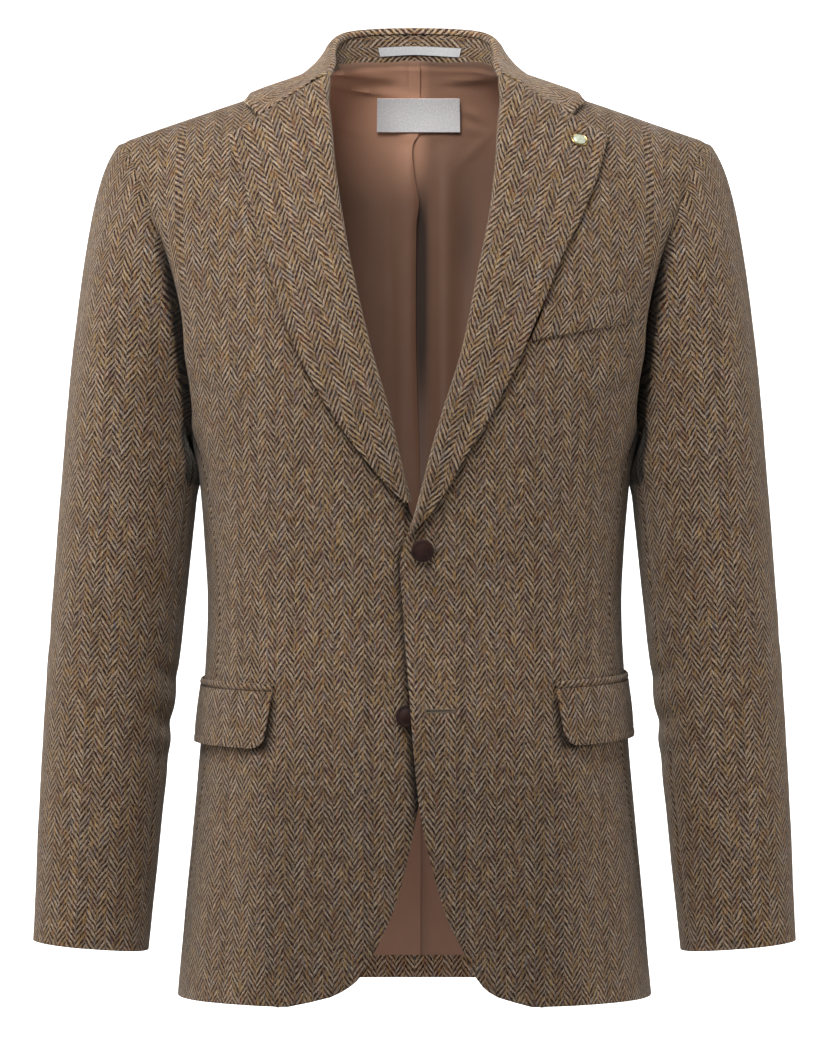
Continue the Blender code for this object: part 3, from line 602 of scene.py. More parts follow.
def sleeve_cap(start, turn, share):
    """From the armhole out over the arm and down into the tube."""
    top_share = (1 + math.cos(turn)) / 2
    out = Vector((1, -0.15 * math.sin(turn), -CAP_FALL * top_share)).normalized()
    first = start + out * ARMHOLE_GAP
    end_down = sleeve_down(turn, 0)
    end = sleeve_tube(turn, end_down)
    falling = (sleeve_tube(turn, end_down + 5) - end).normalized()
    second = first + out * mix(UNDERARM_HANDLE, CAP_HANDLE, top_share)
    third = end - falling * mix(48, 140, top_share)
    keeping = 1 - share
    return (first * keeping ** 3 + second * 3 * keeping ** 2 * share
            + third * 3 * keeping * share ** 2 + end * share ** 3)


def lapel_lift(across, along, thickness):
    """Height of the lapel's outer face over the front, with its soft roll."""
    roll = mix(ROLL_AT_GORGE, ROLL_AT_BREAK, along)
    gap = LAPEL_GAP + GORGE_GAP * (1 - along)
    turning = LAPEL_TURNING * ramp(along, 0.2, 0.35) * (1 - ramp(across, 0.0, 0.12))
    rising = roll * bump(across, 0.22, 0.26) * ramp(across, -0.05, 0.15)
    return gap + thickness + rising - turning


def clear_of_body(point, clearance):
    """Moves a point out until it stands clear of the body's cloth."""
    front = point.y < CENTRE_Y
    height = height_over(abs(point.x), point.y)
    if height > -60:
        level = find_level(abs(point.x), point.y, 1, front, -1 if front else 1)
        normal = body_normal(angle_at(abs(point.x), level, front), level)
        normal.x = math.copysign(normal.x, point.x)
        gap = (point.z - height) * normal.z
        if gap < clearance:
            return point + normal * (clearance - gap)
    return point


@cache
def collar_section(n):
    """Points across the fall at one section, from inside the fold to the leaf's edge."""
    if n < len(COLLAR):
        row = COLLAR[n]
        fold, middle, edge = (Vector(row[i:i + 3]) for i in (0, 3, 6))
        line = []
        for share in COLLAR_SHARES:
            keeping = 1 - share
            line.append(fold * keeping ** 2 + middle * 2 * keeping * share + edge * share ** 2)
    else:
        fold, gorge, leaf = (Vector(spot) for spot in COLLAR_END)
        bend = COLLAR_SHARES[4]
        line = []
        for share in COLLAR_SHARES:
            if share <= bend:
                spot = fold.lerp(gorge, share / bend)
            else:
                spot = gorge.lerp(leaf, (share - bend) / (1 - bend))
            point, normal = place(spot.x, spot.y)
            line.append(point + normal * COLLAR_END_LIFT + Vector((0, 0, SEAM_GAP)))
    return line


def fold_direction(position):
    """Level direction away from the neck, square to the fold."""
    folds = [collar_section(n)[0] for n in range(len(COLLAR) + 1)]
    here = min(max(position, 0.0), len(COLLAR) - 0.1)
    ahead = through(folds, here + 0.1) - through(folds, max(here - 0.1, 0.0))
    return Vector((-ahead.y, ahead.x, 0)).normalized()


def stand_section(position, share):
    """Outer face of the stand, from the neck seam up to just under the fold."""
    folds = [collar_section(n)[0] for n in range(len(COLLAR) + 1)]
    fold = through(folds, abs(position))
    out = fold_direction(abs(position))
    top = fold - out * STAND_OUTER_INSET - Vector((0, 0, STAND_TOP_DROP))
    turn = STAND_SWEEP * abs(position) / STAND_END
    x = (NECK_HALF_WIDTH - STAND_FOOT_INSET) * math.sin(turn)
    depth = NECK_DEPTH if turn < math.pi / 2 else NECK_DEPTH * 0.5
    y = CENTRE_Y + (depth - STAND_FOOT_INSET) * math.cos(turn)
    foot = Vector((x, y, height_over(x, y) + SEAM_GAP))
    point = foot.lerp(top, share)
    if position < 0:
        point.x = -point.x
        out = Vector((-out.x, out.y, 0))
    return point, out


@cache
def stand_position(x):
    """Where along the stand its face has this x."""
    return halve(-3.0, 3.0, lambda position: stand_section(position, 0.7)[0].x < x)


# The jacket's cloth. Every piece is a grid that is laid on the form, given its creases
# and seams, and then thickened.

ROWS_A_PANEL = 170
YOKE_SHARE = 0.31
# The least angle from the centre back at which a normal is read
NEAR_CENTRE = 0.02
# The slot of the outer finish where a facing turns in
FACING_SLOT = 2


def panel_row(share):
    """Level and distance down at a share of the way from shoulder to hem."""
    if share < YOKE_SHARE:
        level = share / YOKE_SHARE
        return level, yoke_down(level)
    down = mix(YOKE_DEPTH, HEM_DOWN, (share - YOKE_SHARE) / (1 - YOKE_SHARE))
    return body_level(down), down


YOKE_COLUMN = 20.0
YOKE_COLUMNS = 12
YOKE_ROWS = 20


def yoke_grain():
    """Length of the cloth up from the yoke's foot, in planes of equal x, front and back."""
    tables = {}
    for front in (True, False):
        lines = []
        for step in range(YOKE_COLUMNS + 1):
            line = []
            for n in range(YOKE_ROWS + 1):
                level = 1 - n / YOKE_ROWS
                half_width = read(BODY, ring(level, front)[0], 1)
                x = min(YOKE_COLUMN * step, half_width * 0.999)
                line.append(body(angle_at(x, level, front), level))
            lines.append(run_lengths(line))
        tables[front] = lines
    return tables


YOKE_GRAIN = yoke_grain()


def grain_down(x, level, front):
    """Distance down along the cloth, from the foot of the yoke."""
    if level >= 1:
        return (level - 1) * (HEM_DOWN - YOKE_DEPTH)
    across = min(abs(x) / YOKE_COLUMN, YOKE_COLUMNS - 0.001)
    up = min((1 - level) * YOKE_ROWS, YOKE_ROWS - 0.001)
    i, j = int(across), int(up)
    a, b = (mix(line[j], line[j + 1], up - j) for line in YOKE_GRAIN[front][i:i + 2])
    return -mix(a, b, across - i)


def unevenness(point, size, seed):
    """Slow rise and fall of the cloth, between -1 and 1."""
    spot = Vector((point.x + seed * 37, point.y, point.z)) / size
    return noise.noise(spot) + 0.4 * noise.noise(spot * 2.3)


def fold_height(table, across, down):
    """Soft ridges and troughs: each row is across, down, turn in degrees, length, width
    and height, which is below nothing for a trough."""
    total = 0.0
    for x, z, turn, length, width, height in table:
        sine = math.sin(math.radians(turn))
        cosine = math.cos(math.radians(turn))
        along = (across - x) * sine + (down - z) * cosine
        aside = (across - x) * cosine - (down - z) * sine
        if abs(aside) < 3 * width and abs(along) < 3 * length:
            total += height * bump(aside, 0, width) * bump(along, 0, length)
    return total


def laid(rows, columns, spot):
    """A grid of points and one of their normals, where spot(row, column) gives a pair."""
    pairs = [[spot(row, column) for column in range(columns + 1)] for row in range(rows + 1)]
    return ([[point for point, _ in line] for line in pairs],
            [[normal for _, normal in line] for line in pairs])


def raised(grid, normals, heights):
    """The grid, each point moved along its normal."""
    return [[point + normal * height for point, normal, height in zip(*lines)]
            for lines in zip(grid, normals, heights)]


def piece_of(name, build, looks):
    """An object from a built mesh, in metres, with its finishes."""
    mesh = bpy.data.meshes.new(name)
    build.to_mesh(mesh)
    build.free()
    for look in looks:
        mesh.materials.append(look)
    piece = bpy.data.objects.new(name, mesh)
    bpy.context.collection.objects.link(piece)
    return piece


def cells_of(build, columns, rows):
    """Lays a square grid in a mesh, and gives each point's column and row from its top."""
    bmesh.ops.create_grid(build, x_segments=columns, y_segments=rows, size=1.0)
    return {vert: (round((vert.co.x + 1) / 2 * columns), round((1 - vert.co.y) / 2 * rows))
            for vert in build.verts}


def cloth_sheet(piece, grid):
    """Records a piece, with the size that its grid lies flat in and its area, for the sheets
    printed at the end.
    """
    longest = max(run_lengths(line)[-1] for line in grid)
    tallest = max(run_lengths(line)[-1] for line in zip(*grid))
    area = 0.0
    for above, below in zip(grid, grid[1:]):
        for a, b, c, d in zip(above, above[1:], below, below[1:]):
            area += (b - a).cross(c - a).length / 2 + (d - b).cross(d - c).length / 2
    SHEETS.append((piece.name, round(longest), round(tallest), round(area)))
    area *= MM * MM


def weave(node, grid, normals, grain, side, looks, thickness, facing=None, edge=0.7,
          turned_in=None, painted_shades=None):
    """A node's cloth from its outer points. grain is each point's place on the flat
    cloth. looks are the outer finish, the inner one and, where it differs from the outer
    one, the finish of the cells whose inner side is tweed, which facing(row, column)
    picks. turned_in is a count of columns with a grain of their own. The last argument
    is painted shade at each point, from 0 to 1, that darkens the finish in seams' valleys
    and beside edges that lie over the cloth."""
    build = bmesh.new()
    layer = build.loops.layers.uv.new("UVMap")
    # Painted shade: each point keeps how far its finish is darkened, where shade would fall
    valley = build.verts.layers.float.new("painted_shade") if painted_shades else None
    places = cells_of(build, len(grid[0]) - 1, len(grid) - 1)
    for vert, (c, r) in places.items():
        point = grid[r][c]
        vert.co = Vector((point.x * side, point.y, point.z)) * MM
        if painted_shades:
            vert[valley] = painted_shades[r][c]
    build.normal_update()
    agreed = 0.0
    for face in build.faces:
        c, r = places[face.verts[0]]
        out = normals[r][c]
        agreed += face.normal.dot(Vector((out.x * side, out.y, out.z))) * face.calc_area()
    if agreed < 0:
        bmesh.ops.reverse_faces(build, faces=build.faces)
    for face in build.faces:
        c = min(places[vert][0] for vert in face.verts)
        r = min(places[vert][1] for vert in face.verts)
        lengths = turned_in[1] if turned_in and c < turned_in[0] else grain
        for loop in face.loops:
            column, row = places[loop.vert]
            u, v = lengths[row][column]
            loop[layer].uv = (u * MM, v * MM)
        if facing and facing(r, c):
            face.material_index = FACING_SLOT
        face.smooth = True
    turned = looks[2] if len(looks) > 2 else looks[0]
    piece = piece_of(node + "_cloth", build, (looks[0], looks[1], looks[0], turned))
    wall = piece.modifiers.new("cloth", "SOLIDIFY")
    wall.thickness = thickness * MM
    wall.offset = -1.0
    wall.material_offset = 1
    wall.material_offset_rim = 0
    wall.use_quality_normals = True
    turn = piece.modifiers.new("turned_edge", "BEVEL")
    turn.limit_method = "ANGLE"
    turn.angle_limit = math.radians(60)
    turn.width = edge * MM
    turn.segments = 2
    turn.harden_normals = True
    turn.use_clamp_overlap = True
    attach(piece, "root")
    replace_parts(piece, node)
    cloth_sheet(piece, grid)


def row_grain(level, front, angles):
    """Distance round the cloth to each angle, from the centre front or centre back."""
    here = 0.0 if front else math.pi
    start = run_lengths([body(mix(here, angles[0], n / 14), level) for n in range(15)])[-1]
    if front and angles[0] < 0:
        start = -start
    way = 1 if front else -1
    return [start + run * way for run in run_lengths([body(angle, level) for angle in angles])]


# The body's panels

FRONT_FOLDS = (
    (148, 640, 2, 95, 15, -2.6),
    (118, 660, 4, 80, 18, 1.4),
    (120, 345, -38, 60, 16, -1.3),
    (150, 262, -62, 46, 11, -1.6),
    (165, 235, -50, 38, 9, 1.2),
    (60, 440, -58, 42, 12, -0.8),
    (70, 402, -66, 46, 12, -0.8),
    (105, 95, 10, 50, 16, -0.8),
)
BACK_FOLDS = (
    (120, 640, 3, 90, 16, -2.4),
    (150, 270, -52, 70, 13, -2.2),
    (128, 285, -50, 62, 12, 1.4),
    (60, 395, -75, 55, 11, -1.3),
    (70, 430, -70, 50, 12, -1.1),
    (40, 90, -88, 60, 9, -1),
)
EDGE_STAND = 2.2
FACING_WIDTH = 72.0
ROLL_TRIM = 1.4
ROLL_REACH = 2.9
BREAK_SPAN = (345, 372)
UNDERARM_SPAN = (258, 284)
FRONT_ACROSS = 100
SIDE_ACROSS = 26
SIDE_LINES = 120
LAP_STEPS = 6
# Where the side body's pattern starts
SIDE_GRAIN = -60.0
BACK_OVERLAP = 0.03
SEAM_LAP = 5.0
BACK_ACROSS = 60
SEAM_DIP = 0.9
SEAM_DIP_WIDTH = 2.6
ARMHOLE_DIP_WIDTH = 7.5
ARMHOLE_SINK = 6.0
PAINTED_SHADE_WIDTH = 2.6


def armhole_painted_shade(seam, down):
    """Painted shade in the armhole's valley at a point of the cloth, from 0 to 1."""
    return bump(seam, 0, PAINTED_SHADE_WIDTH) * ramp(down, 60, 240)


def beside(distance, width):
    """Painted shadow beside an edge that lies over the cloth: it fades away from the edge and is
    full where the cloth is covered.
    """
    return bump(max(distance, 0.0), 0, width)


LAPEL_EDGES = {side: [(row[3], row[2]) for row in rows]
               for side, rows in ((1, LEFT_LAPEL), (-1, RIGHT_LAPEL))}


def front_painted_shade(side, x, down):
    """Painted shade on a front: narrow shadows beside the lapels, the left front's closing edge
    and the pocket flaps, a dark patch below where the lapels meet, and a darker lower front away
    from the sides.
    """
    edge = LAPEL_EDGES[side]
    # painted shadow beside the lapel's outer edge
    lapel = beside((x - read(edge, down, 1)) * 0.75, 3.6) * ramp(down, 50, 80)
    lapel *= 1 - ramp(down, edge[-1][0] - 4, edge[-1][0] + 4)
    lapel *= mix(0.14, 0.22 if side > 0 else 0.38, ramp(down, 140, 300))
    if side < 0:
        # painted shade in the gap below where the lapels meet
        lapel += 0.5 * bump(x, 5, 5) * bump(down, 350, 9)
        # painted shadow beside the left front's edge, which laps over this front
        covered = beside(x + read(LEFT_FRONT_EDGE, down, 1), 4.6)
        lapel += 0.36 * covered * ramp(down, 350, 384) * (1 - ramp(down, 590, 680))
    # painted shadows ahead of and under each pocket flap
    for _, pocket_side, front_x, top, rise in POCKETS:
        if pocket_side != side:
            continue
        share = min(max((down - top) / FLAP_DEPTH, 0.0), 1.0)
        ahead = front_x + FLAP_SLANT * share - x
        under = down - top - FLAP_DEPTH + rise * max(-ahead, 0.0) / 90
        lapel += 0.26 * beside(ahead, 3.6) * beside(under, 3.6) * ramp(down, top, top + 12)
    # painted shade: the lower front darker, away from the sides
    lapel += 0.17 * ramp(down, 440, 600) * (1 - ramp(x, 110, 160))
    return min(lapel, 1.0)


def panel_relief(x, down, seam, folds, point, seed):
    """Height added to the cloth by its creases, its seam and its unevenness."""
    armhole = ramp(down, 80, 220) * (1 - ramp(down, *UNDERARM_SPAN))
    height = fold_height(folds, x, down)
    height += 0.35 * unevenness(point, 60, seed) + 0.12 * unevenness(point, 17, seed + 3)
    height -= SEAM_DIP * bump(seam, 0, SEAM_DIP_WIDTH)
    height -= ARMHOLE_SINK * armhole * bump(seam, 0, ARMHOLE_DIP_WIDTH)
    return height


def front_cloth(name, side, edge_rows):
    grid, normals, grain, heights, facing_ends, painted_shades = [], [], [], [], [], []
    for row in range(ROWS_A_PANEL + 1):
        level, down = panel_row(row / ROWS_A_PANEL)
        inner_edge = edge_angle(level, edge_rows, 1)
        outer_edge = seam_angle(level, down, True)
        if down > UNDERARM_DOWN:
            outer_edge = step_round(outer_edge, level, -SEAM_GAP / 2)
        roll = (ROLL_TRIM + ROLL_REACH) * ramp(down, -5, 5) * (1 - ramp(down, *BREAK_SPAN))
        inner_edge = step_round(inner_edge, level, roll)
        angles = [mix(inner_edge, outer_edge, c / FRONT_ACROSS) for c in range(FRONT_ACROSS + 1)]
        angles[-2] = mix(angles[-2], angles[-1], 0.7)
        lengths = row_grain(level, True, angles)
        line, facings, places, lifts = [], [], [], []
        for angle, across in zip(angles, lengths):
            point = body(angle, level)
            normal = body_normal(angle, level)
            if side > 0:
                point += normal * front_lift(point.x, -point.z)
            if row == 0:
                point.y -= SEAM_GAP / 2
            line.append(point)
            facings.append(normal)
            places.append((across, grain_down(point.x, level, True)))
            x = point.x
            drop = -point.z
            seam = lengths[-1] - across
            height = panel_relief(x, drop, seam, FRONT_FOLDS, point, side)
            inside = across - lengths[0]
            edge = ramp(down, 350, 380)
            height -= 0.5 * edge * bump(inside, 0, 3)
            height += 0.35 * bump(inside, 6.5, 2.5) * edge
            if side > 0:
                closing = ramp(down, 392, 440) * (1 - ramp(down, 590, 690))
                height += EDGE_STAND * bump(inside, 0, 15) * closing
            lifts.append(height)
        width = lengths[-1] - lengths[0]
        # Painted shade in the armhole's valley down to the underarm, and beside what lies over the
        # front
        under_arm = 1 - ramp(down, UNDERARM_DOWN - 2, UNDERARM_DOWN + 22)
        painted_shades.append([armhole_painted_shade(lengths[-1] - across, down) * under_arm
                        + front_painted_shade(side, point.x, -point.z)
                        for across, point in zip(lengths, line)])
        facing_ends.append(FACING_WIDTH / width * FRONT_ACROSS)
        grid.append(line)
        normals.append(facings)
        grain.append(places)
        heights.append(lifts)
    grid = raised(grid, normals, heights)
    weave(name, grid, normals, grain, side, (TWEED, LINING), FRONT_CLOTH,
          facing=lambda r, c: c < facing_ends[r], painted_shades=painted_shades)


def side_cloth(name, side):
    grid, normals, grain, heights = [], [], [], []
    for row in range(SIDE_LINES + 1):
        down = mix(UNDERARM_DOWN, HEM_DOWN, row / SIDE_LINES)
        level = body_level(down)
        start = step_round(seam_angle(level, down, True), level, SEAM_GAP / 2)
        end = step_round(seam_angle(level, down, False), level, -SEAM_GAP / 2)
        tucked = ramp(down, VENT_TOP - 60, VENT_TOP)
        angles = [mix(start, end, c / SIDE_ACROSS) for c in range(SIDE_ACROSS + 1)]
        angles[1] = angles[0]
        angles[0] = step_round(start, level, -SEAM_LAP)
        for step in range(1, LAP_STEPS + 1):
            lap = VENT_LAP * tucked * step / LAP_STEPS + 0.04 * step
            angles.append(step_round(end, level, lap))
        line, facings, places, lifts = [], [], [], []
        across = SIDE_GRAIN
        before = body(start, level)
        whole = (body(end, level) - before).length
        for n, angle in enumerate(angles):
            here = level
            share = min(n / SIDE_ACROSS, 1.0)
            dip = ARMHOLE_DIP * math.sin(math.pi * share) * (1 - ramp(down, 285, 345))
            if n <= SIDE_ACROSS:
                here = body_level(down + dip)
            point = body(angle, here)
            normal = body_normal(angle, here)
            across += (point - before).length
            before = point
            beyond = ramp(n, SIDE_ACROSS - 1, SIDE_ACROSS + 1)
            point = point - normal * VENT_INSET * tucked * beyond
            if n == 0:
                point = point - normal * (FRONT_CLOTH + 0.3)
            line.append(point)
            facings.append(normal)
            places.append((across, grain_down(point.x, here, True)))
            height = 0.3 * unevenness(point, 50, side * 5)
            if n <= SIDE_ACROSS:
                seam = min(share, 1 - share) * whole
                height -= SEAM_DIP * bump(seam, 0, SEAM_DIP_WIDTH)
                height -= 1.2 * bump(down, UNDERARM_DOWN, 9)
            lifts.append(height)
        grid.append(line)
        normals.append(facings)
        grain.append(places)
        heights.append(lifts)
    grid = raised(grid, normals, heights)
    # Painted shade at the side body's top, under the arm
    painted_shades = [[0.5 * (1 - ramp(-point.z, 292, 318)) for point in line] for line in grid]
    weave(name, grid, normals, grain, side, (TWEED, LINING), BACK_CLOTH, painted_shades=painted_shades)


def back_lines(shares, rows, foot):
    """Fine points, normals and grain of a back or its lining."""
    tops = [neckline_level(share) for share in shares]
    grid, normals, grain = [], [], []
    for row in range(rows + 1):
        level, down = panel_row(row / rows * foot)
        line, facings, places = [], [], []
        for share, top in zip(shares, tops):
            here = top + level * (1 - top) if level < 1 else level
            angle = back_angle(share, here, down, SEAM_GAP / 2)
            normal = body_normal(min(angle, math.pi - NEAR_CENTRE), here)
            if share == 1:
                normal.x = 0.0
            point = body(angle, here)
            line.append(point)
            facings.append(normal)
            places.append([0.0, grain_down(point.x, here, False)])
        for spot, across in zip(places[::-1], run_lengths(line[::-1])):
            spot[0] = across
        grid.append(line)
        normals.append(facings)
        grain.append(places)
    for point in grid[0]:
        point.y += SEAM_GAP / 2
    return grid, normals, grain


def back_cloth(name, side):
    shares = [c / BACK_ACROSS for c in range(BACK_ACROSS + 1)]
    shares[-2] = 1 - 0.1 / BACK_ACROSS
    shares[1] = 0.15 / BACK_ACROSS
    grid, normals, grain = back_lines(shares, ROWS_A_PANEL, 1.0)
    heights = []
    for line, places in zip(grid, grain):
        lifts = []
        for point, (across, _) in zip(line, places):
            seam = places[0][0] - across
            height = panel_relief(point.x, -point.z, seam, BACK_FOLDS, point, side * 7)
            height -= SEAM_DIP * bump(across, 0, SEAM_DIP_WIDTH)
            lifts.append(height)
        heights.append(lifts)
        line[-1].x = -BACK_OVERLAP
    grid = raised(grid, normals, heights)
    strip = round(ROWS_A_PANEL * (1 - (HEM_DOWN - LINING_FOOT + 6) / (HEM_DOWN - YOKE_DEPTH)
                                  * (1 - YOKE_SHARE)))
    weave(name, grid, normals, grain, side, (TWEED, LINING, TWEED_HEM_PAINTED_LIGHT), BACK_CLOTH,
          facing=lambda r, c: r >= strip)


# The sleeves: creases are share along, degrees round, width along, width round, depth

SLEEVE_FOLDS = (
    (0.30, 118, 0.016, 34, -1.3),
    (0.34, 150, 0.018, 40, 1),
    (0.40, 110, 0.014, 30, -1),
    (0.44, 20, 0.020, 26, -0.9),
    (0.50, 40, 0.018, 28, 0.8),
    (0.10, 70, 0.030, 22, -1.2),
    (0.62, 70, 0.050, 16, -0.8),
    (0.80, 120, 0.080, 18, -0.7),
    (0.33, 240, 0.020, 34, -1.6),
    (0.38, 255, 0.018, 36, 1.2),
    (0.47, 235, 0.018, 30, -1.2),
    (0.70, 300, 0.060, 18, -0.8),
)
SLEEVE_MIDDLE_X = 245.0
CAP_LINES = 56
TUBE_LINES = 140
SLEEVE_AXIS = Vector((28, -34, -465)).normalized()
SEAM_TURNS = (151, 276)
ROPE = 0.9
UNDERARM_FULLNESS = 6.0


def armhole_line():
    """The armhole, down the front, under the arm and up the back."""
    spots = [(n / 32, yoke_down(n / 32)) for n in range(33)]
    for n in range(1, 6):
        down = mix(YOKE_DEPTH, UNDERARM_DOWN, n / 5)
        spots.append((body_level(down), down))
    front, back = ([(seam_angle(level, down, facing), level) for level, down in spots]
                   for facing in (True, False))
    start, end = front[-1][0], back[-1][0]
    under = []
    for n in range(1, 20):
        share = n / 20
        dipped = body_level(UNDERARM_DOWN + ARMHOLE_DIP * math.sin(math.pi * share))
        under.append((mix(start, end, share), dipped))
    return front + under + back[:0:-1]


def sleeve_lines():
    spots = armhole_line()
    loop = [body(angle, level) for angle, level in spots]
    turns = loop_turns(loop)
    grid = []
    for row in range(CAP_LINES):
        grid.append([sleeve_cap(start, turn, row / CAP_LINES)
                     for start, turn in zip(loop, turns)])
    for row in range(TUBE_LINES + 1):
        share = row / TUBE_LINES
        line = []
        for turn in turns:
            point = sleeve_tube(turn, sleeve_down(turn, share))
            centre = Vector((SLEEVE_MIDDLE_X, point.y * 0.2, point.z))
            depth = crease_depth(SLEEVE_CREASES, share, turn)
            point += (centre - point).normalized() * depth
            line.append(point)
        grid.append(line)
    for r, line in enumerate(grid):
        for point, turn in zip(line, turns):
            inside = bump(math.degrees(turn), 180, 60) * ramp(r, 3, 14)
            point.x -= UNDERARM_FULLNESS * inside * bump(-point.z, 314, 17)
    normals = grid_normals(grid, ring=True)
    for n, (angle, level) in enumerate(spots):
        over_shoulder = ramp(math.cos(turns[n]), -0.3, 0.3)
        normals[0][n] = normals[0][n].lerp(body_normal(angle, level), over_shoulder)
    return grid, normals, turns


def nearest_turn(turns, degrees):
    """The column that lies nearest to so many degrees round the sleeve."""
    return min(range(len(turns)), key=lambda n: abs(turns[n] - math.radians(degrees)))


def sleeve_grain(grid, normals, turns):
    """U round the sleeve from its outer front, V down its length. Over the cap both are
    followed up from the arm, so the columns stay in line with it."""
    count = len(turns)
    first = nearest_turn(turns, 40)
    grain = [[None] * count for _ in grid]
    wholes = [0.0] * len(grid)
    for r in range(len(grid) - 1, -1, -1):
        line = grid[r]
        if r >= CAP_LINES:
            across = 0.0
            for n in range(count + 1):
                c = (first + n) % count
                if n:
                    step = line[c] - line[c - 1]
                    across += (step - SLEEVE_AXIS * step.dot(SLEEVE_AXIS)).length
                if n < count:
                    grain[r][c] = (across, line[c].dot(SLEEVE_AXIS))
            wholes[r] = across
            continue
        wholes[r] = wholes[r + 1]
        for c in range(count):
            step = line[c] - grid[r + 1][c]
            normal = (normals[r][c] + normals[r + 1][c]).normalized()
            along = (SLEEVE_AXIS - normal * SLEEVE_AXIS.dot(normal)).normalized()
            around = normal.cross(along)
            if around.dot(line[(c + 1) % count] - line[c - 1]) < 0:
                around = -around
            u, v = grain[r + 1][c]
            grain[r][c] = (u + step.dot(around), v + step.dot(along))
    for line, whole in zip(grain, wholes):
        line.append(whole)
    return grain, first


ARMHOLE_FOLLOW = 15
RIDGE_LEVEL = 0.05
EDGE_TURN = 0.2
ALLOWANCE_DEPTHS = (5.0, 2.4)
SLEEVE_PAINTED_SHADE_WIDTH = 9.0


def follow_armhole(grid, turns):
    """Draws the sleeve's edge in with the body's, so that they meet in a valley."""
    for c, (angle, level) in enumerate(armhole_line()):
        point = body(angle, level)
        normal = body_normal(angle, max(level, RIDGE_LEVEL))
        sunk = ramp(-point.z, 80, 220) * (1 - ramp(-point.z, *UNDERARM_SPAN))
        sink = SEAM_DIP + ARMHOLE_SINK * sunk
        rope = ROPE * ramp(math.cos(turns[c]), -0.2, 0.7)
        for r in range(ARMHOLE_FOLLOW):
            keep = bump(r, 0, 5)
            grid[r][c] = grid[r][c] - normal * sink * keep
            grid[r][c] += normal * rope * bump(r, 5, 3)


def turned_edge(grid):
    """Two more lines, where the sleeve's seam allowance turns in behind the body."""
    lines = []
    for depth in ALLOWANCE_DEPTHS:
        line = []
        for c, (angle, level) in enumerate(armhole_line()):
            normal = body_normal(angle, max(level, RIDGE_LEVEL))
            outward = grid[1][c] - grid[0][c]
            outward = (outward - normal * outward.dot(normal)).normalized()
            line.append(grid[0][c] - normal * depth - outward * EDGE_TURN)
        lines.append(line)
    return lines


def sleeve_cloths():
    grid, normals, turns = sleeve_lines()
    grain, first = sleeve_grain(grid, normals, turns)
    count = len(turns)
    fore, hind = (nearest_turn(turns, degrees) for degrees in SEAM_TURNS)
    rings = [run_lengths(line + line[:1])[-1] for line in grid]
    heights = []
    for r, line in enumerate(grid):
        share = (r - CAP_LINES) / TUBE_LINES
        cap = r / CAP_LINES
        lifts = []
        for c, point in enumerate(line):
            height = 0.4 * unevenness(point, 55, 11) + 0.12 * unevenness(point, 16, 4)
            height += crease_depth(SLEEVE_FOLDS, share, turns[c])
            height *= ramp(cap, 0.0, 0.15)
            for seam in (fore, hind):
                aside = min(abs(c - seam), count - abs(c - seam)) * rings[r] / count
                height -= SEAM_DIP * ramp(cap, 0.1, 0.3) * bump(aside, 0, SEAM_DIP_WIDTH)
            lifts.append(height)
        heights.append(lifts)
    grid = raised(grid, normals, heights)
    follow_armhole(grid, turns)
    # Painted shade along the armhole seam, less on the outside of the arm, and over the inner
    # sleeve deep under the arm
    painted_shades = [[0.0] * count for _ in grid]
    for c in range(count):
        under_arm = 1 - 0.75 * bump(math.degrees(turns[c]), 0, 60)
        seam = 0.0
        for r in range(len(grid)):
            if r:
                seam += (grid[r][c] - grid[r - 1][c]).length
            painted_shade = bump(seam, 0, SLEEVE_PAINTED_SHADE_WIDTH)
            down = -grid[r][c].z
            painted_shade *= ramp(down, 60, 230) * under_arm
            first_turn = mix(172, 136, ramp(down, 200, 290))
            turn = math.degrees(turns[c])
            inner = ramp(turn, first_turn, first_turn + 14) * (1 - ramp(turn, 184, 204))
            inner *= ramp(down, 190, 240) * (1 - ramp(down, 320, 332))
            painted_shades[r][c] = max(painted_shade, inner)
    for line_set, turned_lines in ((grid, turned_edge(grid)), (normals, normals[:1] * 2),
                                   (grain, grain[:1] * 2), (painted_shades, painted_shades[:1] * 2)):
        line_set[:0] = turned_lines
    runs = (("top_sleeve_", range(hind, count + fore + 1)),
            ("under_sleeve_", range(fore, hind + 1)))
    for name, side in (("left", 1), ("right", -1)):
        for kind, columns in runs:
            outer, facings, places, painted_shading = [], [], [], []
            for line, facing, spots, valley in zip(grid, normals, grain, painted_shades):
                painted_shading.append([valley[c % count] for c in columns])
                run = [line[c % count].copy() for c in columns]
                run[0] += (run[1] - run[0]).normalized() * SLEEVE_SEAM_GAP / 2
                run[-1] += (run[-2] - run[-1]).normalized() * SLEEVE_SEAM_GAP / 2
                outer.append(run)
                facings.append([facing[c % count] for c in columns])
                row = []
                for c in columns:
                    u, v = spots[c % count]
                    behind = kind == "top_sleeve_" and c < count + first
                    row.append((u - spots[-1] if behind else u, v))
                places.append(row)
            weave(kind + name, outer, facings, places, side, (TWEED, LINING), SLEEVE_CLOTH,
                  painted_shades=painted_shading)


# Lapels and collar

LAPEL_ACROSS = 30
LAPEL_LINES = 84
LAPEL_SHEET = 2.4
LAPEL_STAND = 2.2
ROLL_STEPS = 9
ROLL_TURN = math.radians(176)
LAPEL_LEAN = math.radians(16)
GORGE_CORNER = 4.2
# The lapel's top runs on under the collar
LAPEL_TUCK = 3.5
TUCK_SINK = 0.9


